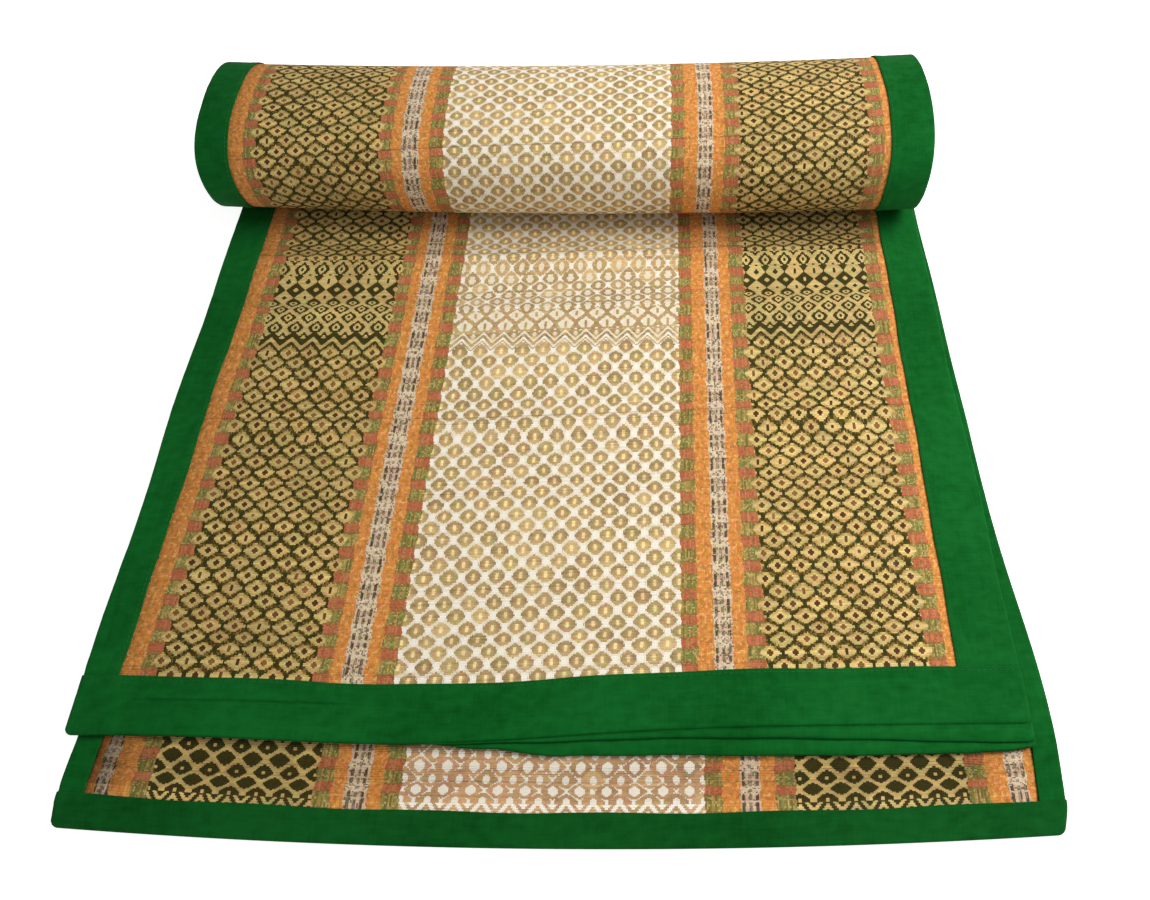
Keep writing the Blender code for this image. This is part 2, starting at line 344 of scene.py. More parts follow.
# Columns of an end binding close to its corners, from the side inwards
CORNER_COLUMNS = (0.0, 0.0006, 0.0016, 0.0028, 0.0042)
# Where creases start to show beside a sewn edge, in hems
SIDE_BARE_FROM = 0.3
END_BARE_FROM = 0.2
# How far in from the edge a corner's roundness and a lap's rise reach
CORNER_FADE = 0.012
LAP_FROM = 0.001
LAP_RUN = 0.004
# From here on along the mat, a binding's reverse looks up
REVERSE_LOOKS_UP_FROM = 1.7

# Loose lip of the upper end's binding. Columns: place across, reach of its rolled part, and
# reach of the flat strip before that.
LIP_ROLL, LIP_STRIP = 1, 2
LIP = (
    (-0.300, 0.0000, 0.0000),
    (-0.100, 0.0000, 0.0000),
    (-0.036, 0.0003, 0.0042),
    (0.011, 0.0026, 0.0080),
    (0.062, 0.0040, 0.0092),
    (0.130, 0.0063, 0.0095),
    (0.192, 0.0082, 0.0084),
    (0.254, 0.0104, 0.0057),
    (0.279, 0.0112, 0.0040),
    (0.300, 0.0110, 0.0022),
)
LIP_FORMS_BY = 0.006

# Section of the lip. Columns: shares of the two reaches forward of the edge, distance in,
# and out.
LIP_SECTION = (
    (0.00, 0.00, 0.0042, 0.00166),
    (0.00, 0.00, 0.0026, 0.00165),
    (0.00, 0.00, 0.0016, 0.00148),
    (0.00, 0.00, 0.0011, 0.00095),
    (0.00, 0.00, 0.0009, 0.00035),
    (0.02, 0.00, 0.0003, 0.00008),
    (0.07, 0.00, 0.0000, 0.00035),
    (0.11, 0.00, 0.0000, 0.00100),
    (0.24, 0.00, 0.0000, 0.00158),
    (0.46, 0.00, 0.0000, 0.00176),
    (0.70, 0.00, 0.0000, 0.00150),
    (0.86, 0.00, 0.0000, 0.00095),
    (0.90, 0.00, 0.0000, 0.00040),
    (0.82, 0.00, 0.0000, -0.00020),
    (0.80, 0.00, 0.0000, -0.00080),
    (0.93, 0.00, 0.0000, -0.00095),
    (1.00, 0.08, 0.0000, -0.00050),
    (1.00, 0.28, 0.0000, -0.00008),
    (1.00, 0.55, 0.0000, 0.00000),
    (1.00, 0.85, 0.0000, -0.00020),
    (1.00, 1.00, 0.0006, -0.00065),
    (1.00, 1.00, 0.0000, -0.00112),
    (1.00, 1.00, 0.0007, -0.00152),
    (0.60, 0.60, 0.0000, -0.00162),
    (0.00, 0.00, 0.0010, -0.00162),
)

# Folds and dents pressed into the bindings, on the side that looks up. Columns: across and
# along where each starts and ends, its height (a dent is below 0) and its half width.
CREASES = (
    (-0.272, 0.0198, -0.108, 0.0220, 0.00120, 0.0050),
    (-0.272, 0.0206, -0.108, 0.0228, -0.00150, 0.0009),
    (-0.060, 0.0120, 0.070, 0.0105, -0.00025, 0.0030),
    (0.120, 0.0240, 0.290, 0.0215, 0.00028, 0.0045),
    (0.264, 0.2300, 0.298, 0.2330, -0.00060, 0.0022),
    (0.262, 0.2360, 0.290, 0.2400, 0.00045, 0.0030),
    (0.266, 0.3600, 0.299, 0.3520, -0.00055, 0.0026),
    (0.263, 0.1150, 0.297, 0.1120, 0.00030, 0.0040),
    (0.270, 0.1580, 0.300, 0.1552, -0.00055, 0.0020),
    (0.272, 0.2540, 0.300, 0.2525, -0.00060, 0.0022),
    (0.285, 0.0500, 0.289, 0.1500, -0.00035, 0.0022),
    (-0.2955, 0.1100, -0.2890, 0.0450, -0.00050, 0.0018),
    (-0.2890, 0.1050, -0.2835, 0.0480, 0.00030, 0.0024),
    (-0.2925, 0.1300, -0.2915, 0.3400, -0.00030, 0.0014),
    (-0.2990, 0.1500, -0.2760, 0.1580, 0.00030, 0.0035),
    (-0.2980, 0.2700, -0.2770, 0.2620, -0.00028, 0.0030),
    (0.266, 1.0100, 0.299, 1.0200, 0.00045, 0.0045),
    (0.264, 1.0700, 0.298, 1.0620, -0.00045, 0.0040),
    (-0.299, 1.0400, -0.276, 1.0480, 0.00040, 0.0045),
    (0.250, 1.7600, 0.302, 1.7640, -0.00055, 0.0020),
    (0.284, 1.7448, 0.303, 1.7460, -0.00060, 0.0018),
    (0.276, 1.7500, 0.303, 1.7520, 0.00040, 0.0026),
    (-0.296, 1.7740, -0.180, 1.7900, 0.00035, 0.0030),
    (-0.150, 1.7900, 0.080, 1.7925, -0.00030, 0.0022),
    (0.060, 1.7880, 0.250, 1.7900, 0.00030, 0.0030),
)

# A crease fades in and out over its length divided by this
CREASE_ENDS = 5

# Slow ripples of the bindings' cloth. Columns: waves per metre across and along, and height.
RIPPLES = (
    (8.0, 23.0, 0.00012),
    (-31.0, 41.0, 0.00008),
    (47.0, -67.0, 0.00005),
    (12.0, 118.0, 0.00004),
    (121.0, 9.0, 0.00004),
)
# How much a ripple is bent, and how slowly
RIPPLE_BEND = 1.3
RIPPLE_BEND_PACE = 0.37

# The seams
STITCH_SPACING = 0.0036
STITCH_LENGTH = 0.0027
STITCH_RADIUS = 0.00024
STITCH_INSET = 0.0021
STITCH_SIDES = 6
STITCH_RINGS = 5
# How a stitch stands out, in shares of its radius: its middle, its roundness, and its dive
STITCH_STANDS = 0.35
STITCH_ROUND = 0.8
STITCH_DIVE = 0.6

# Fine relief of the materials: how high it stands, and from one thread or twist to the next
REED_GRAIN = 0.0003
CLOTH_GRAIN = 0.00014
TWIST_GRAIN = 0.0001
CLOTH_THREAD_SPACING = 0.00072
TWIST_SPACING = 0.0006

# Sockets of a Mix node that is set to colours
MIX_SHARE, MIX_FIRST, MIX_SECOND, MIX_RESULT = 0, 6, 7, 2

# The photographer's camera and studio
CAMERA_PLACE = (0.0739, -0.3444, 0.5232)
CAMERA_TILT = math.radians(29.5)
CAMERA_LENS = 25.04
CAMERA_SHIFT = -0.0817
FLOOR_HALF = 15.0
WHITE = (1.0, 1.0, 1.0)
WARM_WHITE = (1.0, 0.985, 0.95)
KEY_PLACE = (0.9, 0.25, 1.0)
KEY_SIZE = (0.9, 0.8)
FILL_PLACE = (0.5, -1.1, 1.2)
FILL_SIZE = (1.2, 1.0)


def smooth(value):
    """Ease from 0 to 1, for a number or an array."""
    value = np.clip(value, 0.0, 1.0)
    return value * value * (3 - 2 * value)


def eased(rows, column, keys):
    """Read one column of a table of rows at keys, eased between the rows."""
    starts = np.array([row[0] for row in rows])
    values = np.array([row[column] for row in rows])
    place = np.clip(np.searchsorted(starts, keys, side="right") - 1, 0, len(rows) - 2)
    share = smooth((keys - starts[place]) / (starts[place + 1] - starts[place]))
    return values[place] + (values[place + 1] - values[place]) * share


def roll_turn(across, angles):
    """Middle line between the layers in the roll, as YZ points."""
    share = across / (MAT_WIDTH / 2)
    growth = 1 + ROLL_RIGHT_GROWTH * share
    centre_y = ROLL_CENTRE_Y - ROLL_BOW * (1 - share * share)
    top_z = ROLL_HEIGHT * growth - DOUBLE_HALF
    centre_z = (top_z + DOUBLE_HALF + TURN_SPACING / 2) / 2
    inward = TURN_SPACING * angles / (2 * math.pi)
    half_depth = ROLL_DEPTH * growth / 2 - inward
    half_height = centre_z - DOUBLE_HALF - inward
    square = ROLL_SQUARENESS
    y = centre_y + half_depth * (np.sin(angles) + square * np.sin(3 * angles)) / (1 - square)
    z = centre_z - half_height * (np.cos(angles) - square * np.cos(3 * angles)) / (1 - square)
    return np.column_stack((y, z))


def line_normals(points):
    """Unit normals of a line in the YZ plane, to the left of its direction."""
    tangent = np.gradient(points, axis=0)
    tangent /= np.linalg.norm(tangent, axis=1)[:, None]
    return np.column_stack((-tangent[:, 1], tangent[:, 0]))


def line_lengths(points):
    """Distance along a line at each of its points."""
    steps = np.linalg.norm(np.diff(points, axis=0), axis=1)
    return np.concatenate(([0.0], np.cumsum(steps)))


def flat_part(across, end_y, height, waves):
    """A layer's middle line on the floor, from its front end to under the roll."""
    share = across / (MAT_WIDTH / 2)
    stop = ROLL_CENTRE_Y - ROLL_BOW * (1 - share * share)
    count = round((stop - end_y) / LINE_STEP)
    y = end_y + (stop - end_y) * np.arange(count) / count
    run = np.clip((y - end_y) / (ROLL_CENTRE_Y - ROLL_DEPTH / 2 - end_y), 0.0, 1.0)
    phase = 2 * math.pi * (y + WAVE_SLANT * across) / WAVE_LENGTH
    lift = waves * np.sin(math.pi * run) ** 2 * (1 + np.sin(phase)) / 2
    return np.column_stack((y, height + lift))


def mat_line(across):
    """The mat's middle line in YZ at one place across it, with its lengths and normals."""
    bulge = math.exp(-((across - UPPER_END_BULGE_X) / UPPER_END_BULGE_REACH) ** 2)
    upper_end = UPPER_END_Y + UPPER_END_SLANT * across - UPPER_END_BULGE * bulge
    bow = (across - LOWER_END_BOW_X) / (MAT_WIDTH / 2)
    lower_end = LOWER_END_Y + LOWER_END_BOW * bow * bow
    upper_flat = flat_part(across, upper_end, DOUBLE_HALF + HALF_SPACING, WAVE_HEIGHT)
    lower_flat = flat_part(across, lower_end, DOUBLE_HALF - HALF_SPACING, 0.0)
    angles = np.arange(0.0, LONGEST_TURN, TURN_STEP)
    middle = roll_turn(across, angles)
    normals = line_normals(middle)
    inner = line_lengths(np.vstack((upper_flat, middle + HALF_SPACING * normals)))
    outer = line_lengths(np.vstack((lower_flat, middle - HALF_SPACING * normals)))
    total = inner[len(upper_flat):] + outer[len(lower_flat):] + math.pi * FOLD_RADIUS
    last = float(np.interp(MAT_LENGTH, total, angles))
    angles = np.append(angles[angles < last - TURN_STEP / 2], last)
    middle = roll_turn(across, angles)
    normals = line_normals(middle)
    from_fold = line_lengths(middle)[-1] - line_lengths(middle)
    swell = 2 * (FOLD_RADIUS - HALF_SPACING) * smooth(1 - from_fold / FOLD_SWELL_LENGTH)
    inner = middle + (HALF_SPACING + swell)[:, None] * normals
    outer = middle - HALF_SPACING * normals
    tangent = np.array((normals[-1][1], -normals[-1][0]))
    bends = np.linspace(0, math.pi, FOLD_STEPS + 1)[1:-1, None]
    centre = outer[-1] + FOLD_RADIUS * normals[-1]
    fold = centre + FOLD_RADIUS * (np.cos(bends) * normals[-1] + np.sin(bends) * tangent)
    points = np.vstack((upper_flat, inner, fold, outer[::-1], lower_flat[::-1]))
    lengths = line_lengths(points)
    return points, lengths * MAT_LENGTH / lengths[-1], line_normals(points)


@functools.lru_cache(maxsize=1)
def mat_form():
    """Y, Z and normal of the mat's middle, by place across and by place along."""
    alongs = np.linspace(0.0, MAT_LENGTH, FORM_STEPS + 1)
    table = np.empty((FORM_LINES, FORM_STEPS + 1, 4))
    for line, across in enumerate(np.linspace(-FORM_REACH, FORM_REACH, FORM_LINES)):
        points, lengths, normals = mat_line(across)
        values = np.hstack((points, normals))
        for column in range(4):
            table[line, :, column] = np.interp(alongs, lengths, values[:, column])
    return table


def lay(across, along, out):
    """Points in space of places on the mat laid out flat."""
    across, along, out = np.broadcast_arrays(across, along, out)
    line = (across / FORM_REACH + 1) / 2 * (FORM_LINES - 1)
    step = np.clip(along / MAT_LENGTH, 0.0, 1.0) * FORM_STEPS
    low_line = np.clip(np.floor(line), 0, FORM_LINES - 2).astype(int)
    low_step = np.clip(np.floor(step), 0, FORM_STEPS - 1).astype(int)
    over = (line - low_line)[..., None]
    on = (step - low_step)[..., None]
    table = mat_form()
    low = table[low_line, low_step] * (1 - on) + table[low_line, low_step + 1] * on
    high = table[low_line + 1, low_step] * (1 - on) + table[low_line + 1, low_step + 1] * on
    y, z, normal_y, normal_z = np.moveaxis(low * (1 - over) + high * over, -1, 0)
    size = np.hypot(normal_y, normal_z)
    y = y + np.minimum(along, 0.0) - np.maximum(along - MAT_LENGTH, 0.0)
    x = across + eased(DRIFT, WEAVE_SHIFT, along / MAT_LENGTH) - FOOTPRINT_MIDDLE_X
    return np.stack((x, y + out * normal_y / size, z + out * normal_z / size), axis=-1)


def edge_stray(along):
    """How far the bound edges stray to the right of their place beside the weave."""
    return eased(DRIFT, EDGE_STRAY, along / MAT_LENGTH)


def edge_spread(along):
    """How far each bound edge stands further out than half the mat's width."""
    return eased(DRIFT, EDGE_SPREAD, along / MAT_LENGTH)


def flutter(along, side):
    """Slow wave of one bound edge, which draws it in by up to the flutter."""
    return FLUTTER * (np.sin(2 * math.pi * along / FLUTTER_LENGTH + side) - 1) / 2


def side_wander(along, side):
    """How far a side binding's sewn edge wanders inwards."""
    first, second = SIDE_WANDER_TURNS
    return EDGE_WANDER * (np.sin(along * first + side) + SECOND_WANDER * np.sin(along * second))


def end_wander(across):
    """How far an end binding's sewn edge wanders inwards."""
    return EDGE_WANDER * np.sin(across * END_WANDER_TURNS)


def ripples(across, along):
    """Slow unevenness of the bindings' cloth."""
    rise = np.zeros(np.broadcast(across, along).shape)
    for number, (per_across, per_along, height) in enumerate(RIPPLES):
        turn = 2 * math.pi * (per_across * across + per_along * along) + number
        bent = turn + RIPPLE_BEND * np.sin(RIPPLE_BEND_PACE * turn)
        rise = rise + height * np.sin(bent)
    return rise


def creases(across, along):
    """Height of the folds and dents pressed into the cloth."""
    rise = np.zeros(np.broadcast(across, along).shape)
    for start_across, start_along, end_across, end_along, height, half_width in CREASES:
        run = np.array((end_across - start_across, end_along - start_along))
        length = np.linalg.norm(run)
        share = ((across - start_across) * run[0] + (along - start_along) * run[1]) / length**2
        aside = ((across - start_across) * run[1] - (along - start_along) * run[0]) / length
        ends = smooth(share * CREASE_ENDS) * smooth((1 - share) * CREASE_ENDS)
        rise = rise + height * ends * np.exp(-((aside / half_width) ** 2))
    return rise


def new_piece(name, mesh):
    """Put a finished mesh in the scene, riding on the mat's body."""
    piece = bpy.data.objects.new(name, mesh)
    bpy.context.scene.collection.objects.link(piece)
    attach(piece, BODY)
    return piece


def grid_mesh(name, columns, rows):
    """A flat grid of cells, with the column and row number of each of its points."""
    bm = bmesh.new()
    bmesh.ops.create_grid(bm, x_segments=columns, y_segments=rows, size=1.0)
    mesh = bpy.data.meshes.new(name)
    bm.to_mesh(mesh)
    bm.free()
    flat = np.empty(len(mesh.vertices) * 3)
    mesh.vertices.foreach_get("co", flat)
    flat = flat.reshape(-1, 3)
    column = np.rint((flat[:, 0] + 1) / 2 * columns).astype(int)
    row = np.rint((flat[:, 1] + 1) / 2 * rows).astype(int)
    return mesh, column, row


def shape_mesh(mesh, points, flat_places):
    """Lay a grid's points in space and keep their flat places as its UV map."""
    mesh.vertices.foreach_set("co", points.ravel())
    corners = np.empty(len(mesh.loops), dtype=int)
    mesh.loops.foreach_get("vertex_index", corners)
    uv_map = mesh.uv_layers.new(name="flat")
    uv_map.data.foreach_set("uv", flat_places[corners].ravel())
    mesh.update()
    mesh.shade_smooth()


def thicken(piece, thickness, back_material=0):
    """Give a sheet its thickness, half to each side."""
    solid = piece.modifiers.new("thickness", "SOLIDIFY")
    solid.thickness = thickness
    solid.offset = 0.0
    solid.material_offset = back_material


def row_places():
    """Rows of figures counted at places along the mat, each a little uneven."""
    places = [row[0] for row in ROWS]
    counts = [row[ROW_COUNT] for row in ROWS]
    whole = np.arange(math.ceil(counts[0]), math.floor(counts[-1]) + 1)
    along = np.interp(whole, counts, places)
    charted = np.isin(whole, counts) | ((along > ROWS[1][0]) & (along < CHARTED_TO))
    uneven = np.random.default_rng(ROW_SEED).uniform(-1, 1, len(whole)) * ROW_UNEVENNESS
    return whole, along + np.where(charted, 0.0, uneven * USUAL_ROW)


def weave_sheet(settings):
    """The reed weave from end to end: a sheet with a rib for each reed."""
    whole, along_whole = row_places()
    first = np.interp(WEAVE_INSET, along_whole, whole)
    last = np.interp(MAT_LENGTH - WEAVE_INSET, along_whole, whole)
    steps = REEDS * REED_ROWS
    marks = np.arange(math.ceil(first * steps), math.floor(last * steps) + 1)
    counts = marks / steps
    alongs = np.interp(counts, whole, along_whole)
    half = MAT_WIDTH / 2 - WEAVE_INSET - FLUTTER
    places = np.array((-half, *INNER_COLUMNS, half))
    last_column = len(places) - 1
    mesh, column, row = grid_mesh("woven_reeds", last_column, len(marks) - 1)
    across = places[column]
    fade_from, fade_to = SKEW_FADES
    fade = smooth((fade_to - alongs) / (fade_to - fade_from))
    climb = smooth(alongs / SKEW_FULL_ALONG) * fade
    along = alongs[row] + eased(SKEW, 1, across) * climb[row]
    along = np.clip(along, WEAVE_INSET, MAT_LENGTH - WEAVE_INSET)
    stray = np.where((column == 0) | (column == last_column), edge_stray(along), 0.0)
    valley = marks % REED_ROWS == 0
    relief = np.where(valley, -settings.reed_relief / 2, settings.reed_relief / 2)
    points = lay(across + stray, along, relief[row])
    shape_mesh(mesh, points, np.column_stack((across + stray, along)))
    band = (alongs - BAND_START) / BAND_ROW
    band[(alongs < BAND_START) | (alongs > BAND_END)] = OUTSIDE_BAND
    near_end = alongs > END_BAND_START
    band[near_end] = (alongs[near_end] - END_BAND_START) / BAND_ROW
    figure = mesh.attributes.new("figure", "FLOAT_VECTOR", "POINT")
    blank = np.zeros(len(row))
    figure.data.foreach_set("vector", np.column_stack((counts[row], band[row], blank)).ravel())
    return mesh


def bend(radius, steps):
    """Points (inset, out) of cloth turned round an edge, from its face to its reverse."""
    angles = np.linspace(math.pi / 2, -math.pi / 2, steps)
    return np.column_stack((CLOTH / 2 + radius * (1 - np.cos(angles)), radius * np.sin(angles)))


def hem(steps=5):
    """Points (inset from the sewn edge, out) of a turned-under hem, ending on top of it."""
    turn = np.linspace(-math.pi / 2, math.pi / 2, steps)
    middle = (UNDER_PLY + UPPER_PLY) / 2
    radius = (UPPER_PLY - UNDER_PLY) / 2
    under = [(-HEM, UNDER_PLY), (-HEM / 2, UNDER_PLY)]
    round_edge = [
        (-HEM_BEND * (1 - math.cos(angle)), middle + radius * math.sin(angle))
        for angle in turn
    ]
    over = [(-HEM * 0.2, UPPER_PLY), (-HEM * 0.45, UPPER_PLY), (-HEM * 0.75, UPPER_PLY)]
    step_down = [(-HEM * 1.02, UPPER_PLY), (-HEM * 1.35, BARE_PLY)]
    return np.array(under + round_edge + over + step_down)


def band_section(face_width, reverse_width, outer, steps):
    """A binding's whole section, as (inset from the mat's edge, out) arrays.

    The widths may be arrays, one for each row of the binding; outer gives the turn, and steps
    how many points lie between it and a hem.
    """
    face_width = np.atleast_1d(face_width)[:, None]
    reverse_width = np.atleast_1d(reverse_width)[:, None]
    turned = hem()
    spread = np.linspace(1, 0, steps + 2)[1:-1]
    outer = np.broadcast_to(outer, (max(len(face_width), len(outer)), *outer.shape[-2:]))
    inset = np.hstack((
        face_width + turned[:, 0],
        outer[:, 0, :1] + (face_width + turned[-1, 0] - outer[:, 0, :1]) * spread,
        outer[:, :, 0],
        outer[:, -1, :1] + (reverse_width + turned[-1, 0] - outer[:, -1, :1]) * spread[::-1],
        reverse_width + turned[::-1, 0],
    ))
    level = np.full((len(outer), len(spread)), BARE_PLY)
    rows = np.ones((len(outer), 1))
    out = np.hstack((rows * turned[:, 1], level, outer[:, :, 1], -level, -rows * turned[::-1, 1]))
    return inset, out


def cloth_piece(name, points, flat_places, material, replaced):
    """A binding from its rows of points in space."""
    rows, columns = points.shape[:2]
    mesh, column, row = grid_mesh(name, columns - 1, rows - 1)
    shape_mesh(mesh, points[row, column], flat_places[row, column])
    mesh.materials.append(material)
    piece = new_piece(name, mesh)
    thicken(piece, CLOTH)
    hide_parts(replaced)
    return piece


def cloth_lengths(inset, out):
    """Distance along a section's cloth at each of its points."""
    steps = np.hypot(np.diff(inset, axis=1), np.diff(out, axis=1))
    return np.hstack((np.zeros((len(inset), 1)), np.cumsum(steps, axis=1)))


def side_binding(name, side, material):
    """Cloth strip folded round one long side, its ends lapped by the end bindings."""
    face_edge = abs(LEFT_FACE_EDGE if side < 0 else RIGHT_FACE_EDGE)
    first = UPPER_END_REVERSE_WIDTH - SIDE_LAP
    last = MAT_LENGTH - LOWER_END_REVERSE_WIDTH + SIDE_LAP
    along = np.linspace(first, last, round((last - first) / SIDE_ROW) + 1)
    edge = MAT_WIDTH / 2 + side * edge_stray(along) + edge_spread(along) + flutter(along, side)
    under_upper = smooth((END_FACE_WIDTH + LAP_EASE - along) / LAP_EASE)
    under_lower = smooth((along - MAT_LENGTH + LOWER_END_REVERSE_WIDTH + LAP_EASE) / LAP_EASE)
    edge -= LAP_INSET * (under_upper + under_lower)
    face_width = edge - face_edge + side_wander(along, side)
    outer = bend(BARE_PLY, BEND_STEPS)[None]
    inset, out = band_section(face_width, SIDE_REVERSE_WIDTH + 0 * along, outer, SIDE_STEPS)
    across = side * (edge[:, None] - inset)
    along_all = np.broadcast_to(along[:, None], across.shape)
    face = smooth(out / UNDER_PLY)
    reverse = smooth(-out / UNDER_PLY)
    bare = smooth((face_width[:, None] - inset) / HEM - SIDE_BARE_FROM)
    rise = creases(across, along_all) + ripples(across, along_all)
    turned_over = along_all > REVERSE_LOOKS_UP_FROM
    out = out + rise * bare * np.where(turned_over, -reverse, face)
    out = out + LAP_PRESS * (under_upper[:, None] * reverse - under_lower[:, None] * face)
    flat = np.dstack((cloth_lengths(inset, out), along_all))
    points = lay(across, along_all, out)
    node = "binding_left" if side < 0 else "binding_right"
    return cloth_piece(name, points, flat, material, node)


def lip_turn(across):
    """Points of the upper end's turned edge, with its lip, at each place across."""
    plain = bend(BARE_PLY, len(LIP_SECTION))
    roll = eased(LIP, LIP_ROLL, across)[:, None]
    strip = eased(LIP, LIP_STRIP, across)[:, None]
    of_roll, of_strip, inset, out = np.array(LIP_SECTION).T
    loose_inset = inset - of_roll * roll - of_strip * strip
    loose = np.dstack((loose_inset, np.broadcast_to(out, loose_inset.shape)))
    forms = smooth((roll + strip) / LIP_FORMS_BY)[..., None]
    return plain + (loose - plain) * forms


def end_binding(name, upper, material):
    """Cloth strip folded round one short end, over the ends of the side bindings."""
    count = round(MAT_WIDTH / END_COLUMN)
    inner = np.linspace(-1, 1, count + 1)
    close = 1 - np.array(CORNER_COLUMNS) / (MAT_WIDTH / 2)
    shares = np.concatenate((-close, inner[2:-2], close[::-1]))
    rough = shares * MAT_WIDTH / 2
    reverse_width = UPPER_END_REVERSE_WIDTH if upper else LOWER_END_REVERSE_WIDTH
    outer = lip_turn(rough) if upper else bend(BARE_PLY, BEND_STEPS)[None]
    widths = (END_FACE_WIDTH + 0 * rough, reverse_width + 0 * rough)
    inset, out = band_section(*widths, outer, END_STEPS)
    from_side = (1 - np.abs(shares)) * MAT_WIDTH / 2
    round_off = CORNER_RADIUS - np.sqrt(
        CORNER_RADIUS**2 - np.maximum(CORNER_RADIUS - from_side, 0.0) ** 2
    )
    near_edge = smooth((CORNER_FADE - inset) / CORNER_FADE)
    inset = inset + round_off[:, None] * near_edge
    inset = inset + end_wander(rough)[:, None] * (1 - near_edge)
    over_left = smooth((LEFT_FACE_EDGE + LAP_EASE - rough) / LAP_EASE)
    over_right = smooth((rough - RIGHT_FACE_EDGE + LAP_EASE) / LAP_EASE)
    on_hem = smooth((inset - END_FACE_WIDTH + 2 * HEM) / HEM)
    lifted = LAP_RISE * smooth((inset - LAP_FROM) / LAP_RUN) + LAP_HEM_RISE * on_hem
    lifted = lifted * (over_left + over_right)[:, None]
    along = inset if upper else MAT_LENGTH - inset
    bound_half = MAT_WIDTH / 2 + edge_spread(along) + flutter(along, np.sign(shares)[:, None])
    across = bound_half * shares[:, None] + edge_stray(along)
    up = 1.0 if upper else -1.0
    looks_up = smooth(up * out / BARE_PLY)
    rise = creases(across, along) + ripples(across, along)
    shown = smooth((END_FACE_WIDTH - inset) / HEM - END_BARE_FROM) if upper else 1.0
    side_round = np.clip(from_side / (BARE_PLY + LAP_RISE), CLOSED_SHARE, 1.0)
    closing = np.sqrt(1 - (1 - side_round) ** 2)[:, None]
    out = closing * (out + up * lifted * looks_up) + up * rise * looks_up * shown
    flat = np.dstack((np.broadcast_to(rough[:, None], inset.shape), cloth_lengths(inset, out)))
    points = lay(across, along, out)
    node = "binding_upper_end" if upper else "binding_lower_end"
    return cloth_piece(name, points, flat, material, node)


class Flow:
    """A value that flows through a node tree, on which sums can be written plainly."""

    def __init__(self, tree, socket):
        self.tree = tree
        self.socket = socket

    def math(self, operation, *others):
        """Add one Math node."""
        node = self.tree.nodes.new("ShaderNodeMath")
        node.operation = operation
        for socket, value in zip(node.inputs, (self, *others)):
            feed(self.tree, socket, value)
        return Flow(self.tree, node.outputs[0])

    def __add__(self, other):
        return self.math("ADD", other)

    def __sub__(self, other):
        return self.math("SUBTRACT", other)

    def __mul__(self, other):
        return self.math("MULTIPLY", other)

    def above(self, other):
        return self.math("GREATER_THAN", other)

    def below(self, other):
        return self.math("LESS_THAN", other)

    def within(self, low, high):
        """1 between two values, and 0 outside them."""
        return self.above(low) * self.below(high)

    def larger(self, other):
        return self.math("MAXIMUM", other)

    def floor(self):
        return self.math("FLOOR")

    def fraction(self):
        return self.math("FRACT")

    def size(self):
        return self.math("ABSOLUTE")

    def sine(self):
        return self.math("SINE")

    def power(self, exponent):
        return self.math("POWER", exponent)

    def opposite(self):
        return self.math("MULTIPLY_ADD", -1.0, 1.0)

    def towards(self, other, share):
        """This value where share is 0, and the other where it is 1."""
        return self + (other - self) * share

    def from_whole(self):
        """Distance to the nearest whole number."""
        return (self - (self + 0.5).floor()).size()

    def range(self, low, high, new_low, new_high):
        """Move a range of this value to a new range, and stop at its ends."""
        node = self.tree.nodes.new("ShaderNodeMapRange")
        for socket, value in zip(node.inputs, (self, low, high, new_low, new_high)):
            feed(self.tree, socket, value)
        return Flow(self.tree, node.outputs[0])

    def as_colour(self):
        """This value as a grey colour."""
        node = self.tree.nodes.new("ShaderNodeCombineColor")
        for socket in node.inputs:
            feed(self.tree, socket, self)
        return Flow(self.tree, node.outputs[0])


def feed(tree, socket, value):
    """Join a flow to a socket, or set a plain value or colour on it."""
    if isinstance(value, Flow):
        tree.links.new(value.socket, socket)
    elif socket.type == "RGBA":
        socket.default_value = (*value, 1.0)
    else:
        socket.default_value = value


def mixed(share, first, second, blend="MIX"):
    """Mix two colours; at least one of the three is a flow."""
    tree = next(value.tree for value in (share, first, second) if isinstance(value, Flow))
    node = tree.nodes.new("ShaderNodeMix")
    node.data_type = "RGBA"
    node.blend_type = blend
    feed(tree, node.inputs[MIX_SHARE], share)
    feed(tree, node.inputs[MIX_FIRST], first)
    feed(tree, node.inputs[MIX_SECOND], second)
    return Flow(tree, node.outputs[MIX_RESULT])


def noise(tree, vector, scale, detail=2.0):
    """Smooth noise from 0 to 1 at a vector of flows."""
    joined = tree.nodes.new("ShaderNodeCombineXYZ")
    for socket, value in zip(joined.inputs, vector):
        feed(tree, socket, value)
    node = tree.nodes.new("ShaderNodeTexNoise")
    node.inputs["Scale"].default_value = scale
    node.inputs["Detail"].default_value = detail
    tree.links.new(joined.outputs[0], node.inputs["Vector"])
    return Flow(tree, node.outputs[0])


def random_colour(tree, vector):
    """A random colour, the same wherever the vector of flows is the same."""
    joined = tree.nodes.new("ShaderNodeCombineXYZ")
    for socket, value in zip(joined.inputs, vector):
        feed(tree, socket, value)
    node = tree.nodes.new("ShaderNodeTexWhiteNoise")
    tree.links.new(joined.outputs[0], node.inputs["Vector"])
    return Flow(tree, node.outputs["Color"])


def chances(tree, vector):
    """Three random values from 0 to 1, the same wherever the vector of flows is the same."""
    parts = tree.nodes.new("ShaderNodeSeparateColor")
    feed(tree, parts.inputs[0], random_colour(tree, vector))
    return [Flow(tree, socket) for socket in parts.outputs]


